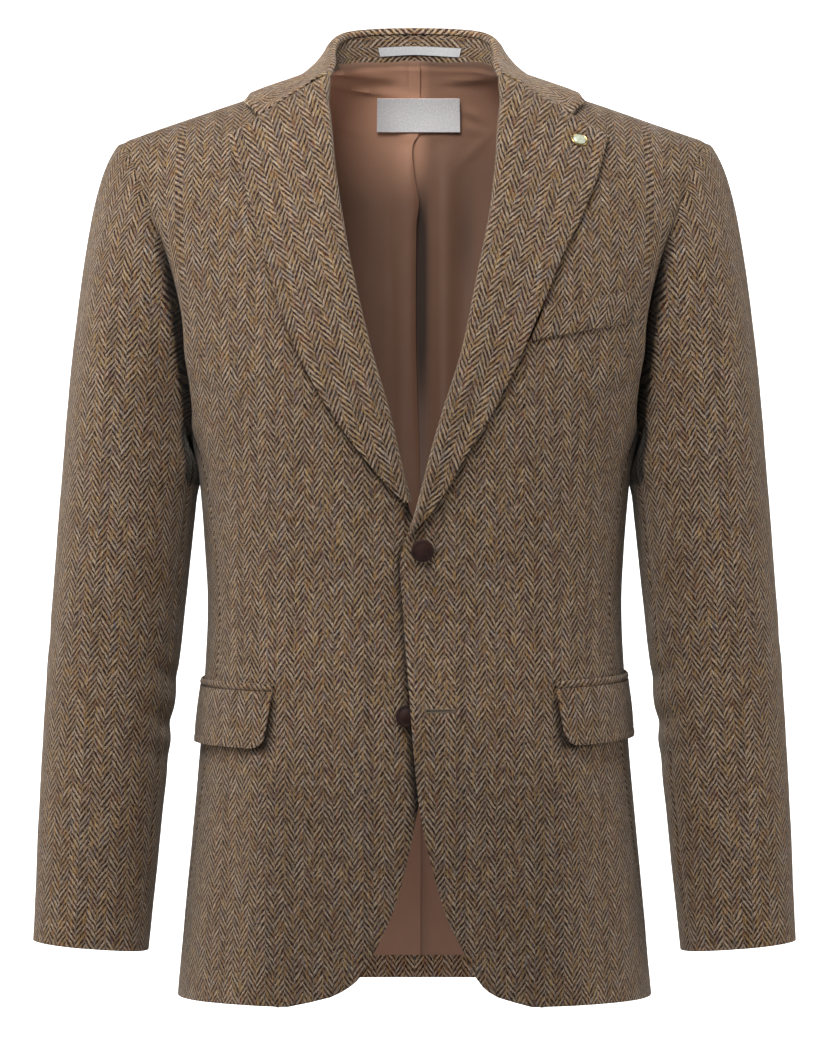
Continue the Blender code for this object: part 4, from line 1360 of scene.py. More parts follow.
def lapel_cloth(name, side, rows):
    """The lapel lies on the front and rolls round the front's inner edge."""
    grid, normals, grain = [], [], []
    for row in range(LAPEL_LINES + 1):
        along = row / LAPEL_LINES
        spot = through(rows, along * (len(rows) - 1))
        width = math.hypot(spot[2] - spot[0], spot[3] - spot[1])
        line, facings, places = [], [], []
        reach = min(ROLL_REACH, width * 0.4)
        first = reach / width
        corner = GORGE_CORNER * (1 - ramp(spot[1], 0, 26))
        for column in range(LAPEL_ACROSS + 1):
            across = mix(first, 1.0, column / LAPEL_ACROSS)
            x = mix(spot[0] - corner, spot[2], across)
            down = mix(spot[1], spot[3], across)
            point, normal = place(x, down)
            if side > 0:
                point = point + normal * front_lift(x, down)
            lift = lapel_lift(across, along, LAPEL_CLOTH)
            from_edge = (1 - across) * width
            lift += 0.25 * unevenness(point, 40, side * 9) - 0.5 * bump(from_edge, 0, 1.6)
            lift += 0.3 * bump(from_edge, 5, 3) * ramp(width, 10, 30)
            standing = ramp(along, 0.15, 0.75) * (1 - ramp(along, 0.93, 1.0))
            lift += LAPEL_STAND * standing * ramp(across, 0.45, 1.0)
            if column == 0:
                outward, seat, start_lift = normal, point, lift
            line.append(point + normal * lift)
            facings.append(normal)
            places.append((x, down))
        aside = line[1] - line[0]
        aside = (aside - outward * aside.dot(outward)).normalized()
        radius = (start_lift + FRONT_CLOTH) / 2
        centre = seat + outward * (start_lift - radius)
        x, down = places[0]
        for step in range(1, ROLL_STEPS + 1):
            turn = ROLL_TURN * step / ROLL_STEPS
            facing = outward * math.cos(turn) - aside * math.sin(turn)
            rolled = outward * radius * math.cos(turn) - aside * reach * math.sin(turn)
            line.insert(0, centre + rolled)
            facings.insert(0, facing)
            places.insert(0, (x - radius * turn, down))
        grid.append(line)
        normals.append(facings)
        sine, cosine = math.sin(LAPEL_LEAN), math.cos(LAPEL_LEAN)
        grain.append([(u * cosine + v * sine, u * sine - v * cosine) for u, v in places])
    tucked = [a + (a - b).normalized() * LAPEL_TUCK - facing * TUCK_SINK
              for a, b, facing in zip(grid[0], grid[1], normals[0])]
    grid.insert(0, tucked)
    normals.insert(0, normals[0])
    grain.insert(0, [(u, v + LAPEL_TUCK) for u, v in grain[0]])
    weave(name, grid, normals, grain, side, (TWEED_ACROSS, TWEED_ACROSS), LAPEL_SHEET)


STAND_HEIGHT = 27.0
FALL_SHEET = 1.7
FALL_LINES_A_SECTION = 14
FALL_ACROSS = 26
FOLD_RADIUS = 1.9
# The collar's ends are sewn over the lapels as far as SEWN_SPAN, in x
SEWN_OVER = 3.4
SEWN_SINK = 1.5
SEWN_SPAN = (106, 116)
# The fold's roll, in degrees down to its inside, where two points more stand below it
ROLL_TURNS = (180, 160, 140, 120, 100, 80, 62, 45)
ROLL_DROPS = (2.0, 1.0)
ROLL_POINTS = len(ROLL_TURNS) + len(ROLL_DROPS)


def fall_line(knots, position):
    """Points across the fall, from inside its rolled fold to the leaf's edge."""
    line = []
    for n in range(FALL_ACROSS):
        share = mix(0.07, 1.0, n / (FALL_ACROSS - 1))
        above = max(i for i in range(len(COLLAR_SHARES) - 1) if COLLAR_SHARES[i] <= share)
        index = above + ((share - COLLAR_SHARES[above])
                         / (COLLAR_SHARES[above + 1] - COLLAR_SHARES[above]))
        clearance = COLLAR_GAP + COLLAR_CLOTH - 0.5 * bump(share, 1.0, 0.06)
        line.append(clear_of_body(through(knots, index), clearance))
    out = fold_direction(position)
    centre = knots[0] - (out + Vector((0, 0, 1))) * FOLD_RADIUS
    roll = [centre - out * FOLD_RADIUS - Vector((0, 0, drop)) for drop in ROLL_DROPS]
    for degrees in ROLL_TURNS:
        turn = math.radians(degrees)
        rim = out * math.cos(turn) + Vector((0, 0, 1)) * math.sin(turn)
        roll.append(centre + rim * FOLD_RADIUS)
    return roll + line


def fall_cloth():
    sections = [collar_section(n) for n in range(len(COLLAR) + 1)]
    half = []
    for step in range(len(COLLAR) * FALL_LINES_A_SECTION + 1):
        position = step / FALL_LINES_A_SECTION
        knots = [through([section[n] for section in sections], position)
                 for n in range(len(COLLAR_SHARES))]
        half.append(fall_line(knots, position))
    middles = run_lengths([line[ROLL_POINTS + 6] for line in half])
    half_grain = [[(length, -down) for down in run_lengths(line)]
                  for line, length in zip(half, middles)]
    rolls = run_lengths([line[len(ROLL_DROPS)] for line in half])
    outer = mirrored(half[:0:-1]) + half
    grain = [[(-u, v) for u, v in line] for line in half_grain[:0:-1]] + half_grain
    inner_grain = [[(STAND_HEIGHT - 3 - v, run) for _, v in line]
                   for line, run in zip(grain, rolls[:0:-1] + rolls)]
    for end, inside, way in ((0, 1, -1), (-1, -2, 1)):
        over, places = [], []
        for rim, behind, (u, v) in zip(outer[end], outer[inside], grain[end]):
            sewn = (1 - ramp(abs(rim.x), *SEWN_SPAN)) * (1 - ramp(rim.y, -6, 4))
            reach = 0.1 + SEWN_OVER * sewn
            over.append(rim + (rim - behind).normalized() * reach)
            places.append((u + reach * way, v))
        at = 0 if end == 0 else len(outer)
        outer.insert(at, over)
        grain.insert(at, places)
        inner_grain.insert(at, list(inner_grain[end]))
    normals = grid_normals(outer)
    for at, sunk in ((0, SEWN_SINK), (1, 0.4), (-1, SEWN_SINK), (-2, 0.4)):
        outer[at] = [point + facing * sunk * ramp(n, ROLL_POINTS + 1, ROLL_POINTS + 5)
                     for n, (point, facing) in enumerate(zip(outer[at], normals[at]))]
    heights = [[0.25 * unevenness(point, 45, 21) * ramp(n, ROLL_POINTS - 1, ROLL_POINTS + 6)
                for n, point in enumerate(line)] for line in outer]
    outer = raised(outer, normals, heights)
    weave("collar_fall", outer, normals, grain, 1, (TWEED_COLLAR_PAINTED_LIGHT, TWEED_COLLAR_PAINTED_LIGHT), FALL_SHEET,
          edge=0.6, turned_in=(6, inner_grain))


def mirrored(grid):
    return [[Vector((-point.x, point.y, point.z)) for point in row] for row in grid]


STAND_SHEET = 2.3
STAND_TOP_SHARE = 0.94
STAND_LINES = 150
STAND_UP = 18
TAPE_LINES = 60
TAPE_UP = 10


def stand_cloth():
    def spot(row, column):
        position = mix(-STAND_END, STAND_END, row / STAND_LINES)
        return stand_section(position, STAND_TOP_SHARE * column / STAND_UP)

    grid, normals = laid(STAND_LINES, STAND_UP, spot)
    lengths = run_lengths([line[STAND_UP // 2] for line in grid])
    grain = [[(height, abs(length - lengths[-1] / 2)) for height in run_lengths(line)]
             for line, length in zip(grid, lengths)]
    weave("collar_stand", grid, normals, grain, 1, (TWEED, TWEED), STAND_SHEET, edge=0.5)


def tape_cloth():
    def spot(row, column):
        share = row / TAPE_LINES
        position = stand_position(mix(*TAPE_SPAN, share))
        point, out = stand_section(position, mix(*TAPE_SHARES, column / TAPE_UP))
        droop = 0.5 * math.sin(math.pi * share)
        return point - out * (STAND_SHEET + TAPE_GAP + droop), out

    grid, normals = laid(TAPE_LINES, TAPE_UP, spot)
    grain = [[(mix(*TAPE_SPAN, row / TAPE_LINES), height) for height in run_lengths(line)]
             for row, line in enumerate(grid)]
    weave("hanger_tape", grid, normals, grain, 1, (WOVEN_TAPE_PAINTED_SHADE, WOVEN_TAPE_PAINTED_SHADE), TAPE_CLOTH,
          edge=0.25)


# Pockets

STRIP_ACROSS = 90
FLAP_LINES = 22
CORNER_LINES = 12
JET_LINES = 12
WELT_LINES = 20
WELT_ACROSS = 56


def hip_strip(front_x, downs, slants, lifts, rise):
    """Points, normals and places of a strip laid round the hip."""
    def spot(row, column):
        share = column / STRIP_ACROSS
        level = body_level(downs[row] - rise * share)
        start = angle_at(front_x + slants[row], level)
        end = math.pi - math.asin(FLAP_BACK_SHARE ** (RING_CURVE / 2))
        angle = mix(start, end, share)
        normal = body_normal(angle, level)
        return body(angle, level) + normal * lifts[row], normal

    grid, normals = laid(len(downs) - 1, STRIP_ACROSS, spot)
    grain = [[(front_x + slant + length, -down) for length in run_lengths(line)]
             for line, slant, down in zip(grid, slants, downs)]
    return grid, normals, grain


FLAP_STITCH = 6.0


def pocket_cloths(name, side, front_x, top, rise):
    shares = [0.775 * n / FLAP_LINES for n in range(FLAP_LINES + 1)]
    for n in range(1, CORNER_LINES + 1):
        turn = math.radians(88 * n / CORNER_LINES)
        shares.append((FLAP_DEPTH - FLAP_CORNER * (1 - math.sin(turn))) / FLAP_DEPTH)
    downs, slants, lifts = [], [], []
    for share in shares:
        past = max(0.0, FLAP_DEPTH * share - (FLAP_DEPTH - FLAP_CORNER))
        corner = FLAP_CORNER - math.sqrt(max(FLAP_CORNER ** 2 - past ** 2, 0.0))
        downs.append(top + FLAP_DEPTH * share)
        slants.append(FLAP_SLANT * share + corner)
        lifts.append(POCKET_GAP + FLAP_CLOTH + FLAP_SPRING * share)
    grid, normals, grain = hip_strip(front_x, downs, slants, lifts, rise)
    heights = []
    for share, line, places in zip(shares, grid, grain):
        lifts = []
        for point, (u, _) in zip(line, places):
            nearest = min(FLAP_DEPTH * (1 - share), u - places[0][0])
            height = -0.45 * bump(nearest, FLAP_STITCH, 0.9)
            height += 0.3 * bump(nearest, FLAP_STITCH / 2, 2.2)
            height += 0.5 * math.sin(math.pi * share) + 0.4 * unevenness(point, 35, side * 13)
            lifts.append(height)
        heights.append(lifts)
    weave("pocket_flap_" + name, raised(grid, normals, heights), normals, grain, side,
          (TWEED, LINING), FLAP_CLOTH - 0.4)
    shares = [n / JET_LINES for n in range(JET_LINES + 1)]
    downs = [top - SEAM_GAP - JET_HEIGHT * (1 - share) for share in shares]
    lifts = [POCKET_GAP + FLAP_CLOTH + JET_CROWN * (math.sin(math.pi * share) - 1)
             for share in shares]
    grid, normals, grain = hip_strip(front_x, downs, [0.0] * len(downs), lifts, rise)
    grain = [[(-v - u, (u - v) * 1.15) for u, v in line] for line in grain]
    weave("pocket_jet_" + name, grid, normals, grain, side, (TWEED_ROPE, TWEED_ROPE),
          FLAP_CLOTH - JET_CROWN, edge=0.5)


def welt_cloth():
    def spot(row, column):
        fallen, share = row / WELT_LINES, column / WELT_ACROSS
        x, down = (mix(mix(WELT_INNER_TOP[n], WELT_INNER_FOOT[n], fallen),
                       mix(WELT_OUTER_TOP[n], WELT_OUTER_FOOT[n], fallen), share) for n in (0, 1))
        point, normal = place(x, down)
        lift = POCKET_GAP + WELT_CLOTH + 0.5 * math.sin(math.pi * fallen)
        lift -= 0.5 * bump(min(share, 1 - share) * 72, 0, 2.5) + 0.6 * bump(row, WELT_LINES, 3)
        return point + normal * lift, normal

    grid, normals = laid(WELT_LINES, WELT_ACROSS, spot)
    grain = [[(WELT_INNER_TOP[0] + length - row * 0.3, length * 0.2 - row * 1.36)
              for length in run_lengths(line)] for row, line in enumerate(grid)]
    weave("chest_welt", grid, normals, grain, 1, (TWEED, TWEED), WELT_CLOTH)


# The lining down the back, with its label

LINING_LINES = 150
LINING_ACROSS = 56
# Each billow: middle x, width, depth, and where it starts and fades out down the back
RIGHT_BILLOWS = ((-9, 9.5, 6, 52, 300), (-34, 18, 3.6, 70, 320))
LEFT_BILLOWS = ((25, 10, 7, 50, 300), (64, 13, 3.6, 60, 240))
LINING_WRINKLES = (
    (-46, -12, 86, 26, 2.6, 2.2),
    (-50, -6.5, 84, 26, 2.6, -2),
    (-48, -1, 82, 28, 2.4, 2.2),
    (-44, 4, 82, 24, 2.4, -1.8),
    (-58, 30, 70, 16, 3, 1.2),
    (52, -9, 94, 24, 2.6, 1.8),
    (56, -4, 92, 24, 2.6, -1.4),
    (47, 18, 62, 9, 2.2, 1.6),
    (48, 25, 66, 9, 2.2, -1.4),
    (50, 31, 74, 10, 2.2, 1.2),
    (50, 48, -46, 18, 2.6, 1.5),
    (-6, 36, 64, 9, 2.2, 1.4),
    (16, 38, -70, 9, 2.4, 1),
    (-12.2, 125, 3.1, 62, 1.3, -0.9),
    (-14.6, 125, 3.1, 62, 1.6, 0.8),
)
HEM_PLEATS = ((-60, 12, 1.6), (50, 13, 1.4), (-22, 9, -1))
# the pleat's edge: down, x
PLEAT_EDGE = ((0, 4.4), (33, 4.4), (43, -1.6), (67, -0.8), (91, 3.3), (110, 1.2),
              (211, 0.8), (300, 3.5), (420, 5), (720, 5))
PLEAT_UNDER = -12.0
PLEAT_STEPS = 12
# How far the lining reaches in and up over the neck's seam
LINING_COVER = 1.2
LINING_RISE = 2.9
# Painted shade on the lining, away from its top
LINING_PAINTED_SHADE = 0.76
LABEL_DOWNS = (4.6, 32.4)
LABEL_LINES = 30
LABEL_ACROSS = 60


def lining_height(x, down, billows):
    """How far the lining stands into the coat."""
    height = 0.0
    for middle, width, depth, start, end in billows:
        length = ramp(down, start - 20, start + 45) * (1 - ramp(down, end - 60, end + 160))
        height += depth * bump(x, middle, width) * length
    height += fold_height(LINING_WRINKLES, x, down)
    for middle, width, depth in HEM_PLEATS:
        height += depth * bump(x, middle, width) * ramp(down, 640, 700)
    return height * (1 - bump(down, LINING_FOOT, 9))


def lining_painted_shade(x, down, over):
    """How much painted shade lies on a point of the lining: it deepens below the top, eases a
    little near the foot, and gathers in the pleat's trough and a patch beside it.
    """
    painted_shade = LINING_PAINTED_SHADE * ramp(down, 10, 100)
    # painted shade: the under half darker beside the pleat's edge
    if not over:
        painted_shade = mix(painted_shade, mix(0.42, 0.8, ramp(down, -10, 75)), ramp(x, 2, 16))
    painted_shade *= 1 - 0.2 * ramp(down, 420, 640)
    # painted shade in the pleat's trough, and in a patch further out
    if not over:
        painted_shade += 0.3 * bump(x, 5.8, 5.4) * ramp(down, 48, 120) * (1 - 0.7 * ramp(down, 190, 300))
        painted_shade += 0.09 * bump(x, 43, 9) * bump(down, 123, 48)
    return painted_shade


def lining_cloth(name, side):
    over = side < 0
    painted_shades = []
    shares = [mix(LINING_SHARE, 1.0, c / LINING_ACROSS) for c in range(LINING_ACROSS + 1)]
    foot = YOKE_SHARE + (LINING_FOOT - YOKE_DEPTH) / (HEM_DOWN - YOKE_DEPTH) * (1 - YOKE_SHARE)
    grid, normals, grain = back_lines(shares, LINING_LINES, foot)
    for line, facings, places in zip(grid, normals, grain):
        centre = line.pop()
        out = facings.pop()
        drop = places.pop()[1]
        end = -read(PLEAT_EDGE, -centre.z, 1) if over else PLEAT_UNDER
        start = line[-1].x
        for step in range(1, PLEAT_STEPS + 1):
            x = mix(start, end, step / PLEAT_STEPS)
            line.append(Vector((x, centre.y, centre.z)))
            facings.append(Vector((0, out.y, out.z)))
            places.append([x, drop])
        painted_shading = []
        for n, (point, normal) in enumerate(zip(line, facings)):
            x = point.x * side
            down = -point.z
            inset = BACK_CLOTH + LINING_GAP
            height = lining_height(x, down, RIGHT_BILLOWS if over else LEFT_BILLOWS)
            if over:
                inset += PLEAT_STEP * (1 - ramp(point.x, 0, PLEAT_WIDTH))
                inset += 1.6 * bump(point.x, end + 3, 4) * ramp(down, 36, 60) \
                    * (1 - ramp(down, 240, 420))
            elif x < 8:
                height = max(height, 0.0)
            line[n] = point - normal * (inset + max(height, -0.3))
            painted_shading.append(lining_painted_shade(x, down, over))
        painted_shades.append(painted_shading)
    # Two lines turn in over the neck's seam, both with heavier painted shade
    for reach, shade, shade_share in ((1.0, 0.7, 0.4), (0.1, 0.0, 1.0)):
        line = []
        for point in grid[0]:
            inwards = Vector((-point.x / NECK_HALF_WIDTH ** 2,
                              -(point.y - CENTRE_Y) / NECK_DEPTH ** 2, 0)).normalized()
            aside = abs(point.x)
            rise = (LINING_RISE + 1.2 * ramp(aside, 20, 60)) * (1 - ramp(aside, 66, 72))
            line.append(point + inwards * LINING_COVER * reach + Vector((0, 0, rise)))
        grid.insert(0, line)
        normals.insert(0, normals[0])
        grain.insert(0, [(u, v + 1.5) for u, v in grain[0]])
        painted_shades.insert(0, [shade + shade_share * painted_shade for painted_shade in painted_shades[0]])
    weave(name, grid, normals, grain, side, (LINING, LINING), LINING_CLOTH - 0.3, edge=0.2,
          painted_shades=painted_shades)


def label_cloth():
    """The bare neck label, on the lining just below the neck seam."""
    inset = BACK_CLOTH + LINING_GAP + LINING_CLOTH + PLEAT_STEP + LABEL_GAP

    def spot(row, column):
        x = mix(*LABEL_SPAN, column / LABEL_ACROSS)
        level = find_level(abs(x), -mix(*LABEL_DOWNS, row / LABEL_LINES), 2, False, -1)
        angle = angle_at(abs(x), level, False)
        point = body(angle, level)
        normal = body_normal(min(angle, math.pi - NEAR_CENTRE), level)
        point.x = x
        normal.x = math.copysign(normal.x, x) if abs(x) > 2 else 0.0
        return point - normal * (inset + 0.15 * unevenness(point, 20, 31)), normal

    grid, normals = laid(LABEL_LINES, LABEL_ACROSS, spot)
    grain = [[(mix(*LABEL_SPAN, column / LABEL_ACROSS), -mix(*LABEL_DOWNS, row / LABEL_LINES))
              for column in range(LABEL_ACROSS + 1)] for row in range(LABEL_LINES + 1)]
    weave("neck_label", grid, normals, grain, 1, (WOVEN_WHITE, WOVEN_WHITE), TAPE_CLOTH - 0.2,
          edge=0.2)


# Buttons, buttonholes and the pin

# Outlines to turn: share of the radius, height above the cloth
BUTTON_SHAPE = (
    (0, 0.3), (0.3, 0.3), (0.3, 1.5), (0.78, 1.8), (0.9, 2.2), (0.975, 2.9),
    (1, 3.7), (0.985, 4.4), (0.94, 4.95), (0.86, 5.15), (0.78, 5), (0.7, 4.95),
    (0.55, 5.35), (0.38, 5.7), (0.2, 5.9), (0, 6),
)
PIN_RIM = ((0, 0.3), (0.94, 0.3), (1, 0.8), (1, 1.3), (0.93, 1.8), (0.84, 1.7),
           (0.8, 1.2), (0, 1))
PIN_STUD = ((0, 1), (0.78, 1.1), (0.74, 1.55), (0.6, 2), (0.4, 2.3), (0.2, 2.45), (0, 2.5))
SPIN_STEPS = 64


def turned(name, shape, radius, seat, facing, look, slot, aspect=1.0):
    """A round piece, turned from an outline and stood on a point of the cloth."""
    made = bmesh.new()
    line = [made.verts.new((share * radius, 0, height)) for share, height in shape]
    edges = [made.edges.new((a, b)) for a, b in zip(line, line[1:])]
    bmesh.ops.spin(made, geom=line + edges, cent=(0, 0, 0), axis=(0, 0, 1), dvec=(0, 0, 0),
                   angle=math.tau, steps=SPIN_STEPS, use_merge=True)
    bmesh.ops.remove_doubles(made, verts=made.verts, dist=0.001)
    bmesh.ops.recalc_face_normals(made, faces=made.faces)
    bmesh.ops.scale(made, vec=Vector((1, aspect, 1)), verts=made.verts)
    turn = facing.to_track_quat("Z", "Y").to_matrix()
    bmesh.ops.rotate(made, cent=(0, 0, 0), matrix=turn, verts=made.verts)
    bmesh.ops.translate(made, vec=seat, verts=made.verts)
    bmesh.ops.scale(made, vec=Vector((MM, MM, MM)), verts=made.verts)
    for face in made.faces:
        face.smooth = True
    piece = piece_of(name, made, (look,))
    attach(piece, "root")
    return piece


def fastenings():
    point, normal = place(BUTTON_X, TOP_BUTTON_DOWN)
    point += normal * front_lift(BUTTON_X, TOP_BUTTON_DOWN)
    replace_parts(turned("button_top_dome", BUTTON_SHAPE, BUTTON_RADIUS, point, normal, LEATHER,
                       "button"), "button_top")
    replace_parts(turned("button_bottom_dome", BUTTON_SHAPE, BUTTON_RADIUS,
                       *place(LOW_BUTTON_X, LOW_BUTTON_DOWN), LEATHER, "button"), "button_bottom")
    point, normal = place(PIN_X, PIN_DOWN)
    point += normal * (LAPEL_GAP + GORGE_GAP + LAPEL_CLOTH)
    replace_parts(turned("pin_rim", PIN_RIM, PIN_RADIUS, point, normal, BRASS, "pin", PIN_ASPECT),
                "lapel_pin")
    turned("pin_stud", PIN_STUD, PIN_RADIUS, point, normal, PEARL, "pin", PIN_ASPECT)


# Each buttonhole: its ends' x, how far down it is, and half its opening
BUTTONHOLES = (("buttonhole_top", 6.0, 18.2, TOP_BUTTON_DOWN, 0.9),
               ("buttonhole_bottom", 8.0, 32.0, 506.0, 1.0))
# The thread's radius, its points round and its points along the hole
THREAD = 0.75
THREAD_ROUNDS = 8
STITCH_STEPS = 220


def on_front(x, z, height):
    """A point in metres just off the left front's cloth, by its x and z in millimetres."""
    spot, out, _, _ = LEFT_CLOTH.ray_cast(Vector((x, -300, z)) * MM, Vector((0, 1, 0)))
    return spot + out * height * MM


def buttonhole(name, start_x, end_x, down, opening):
    """Bound with stitches: a ring of thread round a narrow slit with a round eye."""
    middle = (start_x + end_x) / 2
    half = (end_x - start_x) / 2
    path = []
    for n in range(STITCH_STEPS):
        turn = math.tau * n / STITCH_STEPS
        along = half * power(math.cos(turn), 0.55)
        eye = 1.0 + 0.55 * bump(along, -half + 2.0, 2.0)
        path.append((along, opening * eye * power(math.sin(turn), 0.6)))
    build = bmesh.new()
    layer = build.loops.layers.uv.new("UVMap")
    for vert, (s, q) in cells_of(build, STITCH_STEPS, THREAD_ROUNDS).items():
        s %= STITCH_STEPS
        along, aside = path[s]
        before, after = path[s - 1], path[(s + 1) % STITCH_STEPS]
        direction = Vector((after[0] - before[0], after[1] - before[1], 0)).normalized()
        out = Vector((direction.y, -direction.x, 0))
        turn = math.pi * (1 - q / THREAD_ROUNDS)
        ripple = 1 + 0.12 * math.sin(s * math.tau / 4)
        spread = math.cos(turn) * THREAD * ripple
        height = math.sin(turn) * THREAD * 0.75 * ripple - 0.1
        vert.co = on_front(middle + along + out.x * spread, aside + out.y * spread - down, height)
    bmesh.ops.remove_doubles(build, verts=build.verts, dist=0.000001)
    bmesh.ops.recalc_face_normals(build, faces=build.faces)
    for face in build.faces:
        face.smooth = True
        for loop in face.loops:
            loop[layer].uv = (loop.vert.co.x, loop.vert.co.z)
    # The slit is a dark sheet laid on the cloth: painted shade in the opening
    slit = bmesh.new()
    bmesh.ops.create_grid(slit, x_segments=24, y_segments=2, size=1.0)
    for vert in slit.verts:
        along = vert.co.x * half
        eye = 1.0 + 2.4 * bump(along, -half + 2.2, 1.8)
        aside = vert.co.y * opening * 0.55 * eye * math.sqrt(max(1 - vert.co.x ** 2, 0.0))
        vert.co = on_front(middle + along, aside - down, 0.22)
    bmesh.ops.recalc_face_normals(slit, faces=slit.faces)
    for piece in (piece_of(name, build, (THREAD_LOOK,)), piece_of(name + "_slit", slit, (SHADE,))):
        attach(piece, "root")


# Finishes

def tone(red, green, blue):
    """A finish's colour from its 0 to 255 values."""
    def straight(value):
        value /= 255
        return value / 12.92 if value <= 0.04045 else ((value + 0.055) / 1.055) ** 2.4
    return (straight(red), straight(green), straight(blue), 1.0)


class Nodes:
    """Places nodes and links them in one go."""

    def __init__(self, tree):
        self.tree = tree

    def add(self, kind, settings=None, **inputs):
        node = self.tree.nodes.new(kind)
        for key, value in (settings or {}).items():
            setattr(node, key, value)
        for key, value in inputs.items():
            name = int(key[1:]) if key[0] == "n" and key[1:].isdigit() else key.replace("_", " ")
            self.put(node.inputs[name], value)
        return node

    def put(self, socket, value):
        if isinstance(value, bpy.types.NodeSocket):
            self.tree.links.new(value, socket)
        elif isinstance(value, bpy.types.Node):
            self.tree.links.new(value.outputs[0], socket)
        else:
            socket.default_value = value

    def sum(self, operation, *values):
        node = self.add("ShaderNodeMath", {"operation": operation})
        for socket, value in zip(node.inputs, values):
            self.put(socket, value)
        return node.outputs[0]

    def plus(self, a, b):
        return self.sum("ADD", a, b)

    def minus(self, a, b):
        return self.sum("SUBTRACT", a, b)

    def times(self, a, b):
        return self.sum("MULTIPLY", a, b)

    def over(self, a, b):
        return self.sum("DIVIDE", a, b)

    def between(self, value, low, high, to_low=0.0, to_high=1.0, smooth=True):
        node = self.add("ShaderNodeMapRange",
                        {"interpolation_type": "SMOOTHSTEP" if smooth else "LINEAR"})
        for socket, number in zip(node.inputs, (value, low, high, to_low, to_high)):
            self.put(socket, number)
        return node.outputs[0]

    def blend(self, share, a, b, how="MIX"):
        node = self.add("ShaderNodeMix", {"data_type": "RGBA", "blend_type": how})
        self.put(node.inputs[0], share)
        self.put(node.inputs[6], a)
        self.put(node.inputs[7], b)
        return node.outputs[2]

    def grains(self, vector, scale, detail=2.0, rough=0.5, dimensions="3D"):
        node = self.add("ShaderNodeTexNoise", {"noise_dimensions": dimensions})
        self.put(node.inputs["Vector"], vector)
        self.put(node.inputs["Scale"], scale)
        self.put(node.inputs["Detail"], detail)
        self.put(node.inputs["Roughness"], rough)
        return node.outputs[0]


def group(name, inputs, outputs):
    tree = bpy.data.node_groups.new(name, "ShaderNodeTree")
    for label, kind, default in inputs:
        socket = tree.interface.new_socket(name=label, in_out="INPUT", socket_type=kind)
        if default is not None:
            socket.default_value = default
    for label, kind in outputs:
        tree.interface.new_socket(name=label, in_out="OUTPUT", socket_type=kind)
    nodes = Nodes(tree)
    return tree, nodes, tree.nodes.new("NodeGroupInput"), tree.nodes.new("NodeGroupOutput")


TWEED_BRIGHTNESS = 0.56
COLUMN = 8.0
STRIPE = 5.4
STRIPE_SLOPE = 1.4
YARN = 0.85
FLECK_SHARE = 0.45

# Shades of the light weft yarn, the dark warp yarn and the coloured flecks in the warp,
# each from the share at which it starts
LIGHT_YARNS = ((0, (184, 162, 136)), (0.22, (162, 138, 114)), (0.45, (146, 120, 94)),
               (0.62, (178, 158, 140)), (0.80, (154, 124, 86)), (0.92, (132, 108, 96)))
DARK_YARNS = ((0, (42, 24, 15)), (0.30, (56, 34, 23)), (0.55, (30, 19, 16)),
              (0.75, (62, 39, 25)), (0.90, (50, 28, 28)))
FLECK_YARNS = ((0, (172, 128, 62)), (0.26, (128, 66, 42)), (0.44, (112, 78, 92)),
               (0.56, (106, 110, 118)), (0.70, (188, 152, 88)), (0.86, (150, 98, 58)))


def yarn_shades(n, dice, shades):
    picker = n.add("ShaderNodeValToRGB")
    picker.color_ramp.interpolation = "CONSTANT"
    while len(picker.color_ramp.elements) < len(shades):
        picker.color_ramp.elements.new(0.5)
    for element, (start, shade) in zip(picker.color_ramp.elements, shades):
        element.position = start
        element.color = tone(*shade)
    n.put(picker.inputs[0], dice)
    return picker.outputs[0]


def yarn_runs(n, beside, along, length):
    """A dice roll for each stretch of each yarn, three numbers, and a taper to its ends."""
    yarn = n.sum("FLOOR", n.over(beside, YARN))
    shift = n.add("ShaderNodeTexWhiteNoise", {"noise_dimensions": "1D"}, W=yarn)
    run = n.plus(n.over(along, length), n.times(shift.outputs[0], 9.0))
    cell = n.add("ShaderNodeCombineXYZ", X=yarn, Y=n.sum("FLOOR", run))
    dice = n.add("ShaderNodeTexWhiteNoise", {"noise_dimensions": "2D"}, Vector=cell)
    numbers = n.add("ShaderNodeSeparateXYZ", n0=dice.outputs[1])
    taper = n.between(n.sum("PINGPONG", run, 0.5), 0.02, 0.25)
    return numbers.outputs, taper


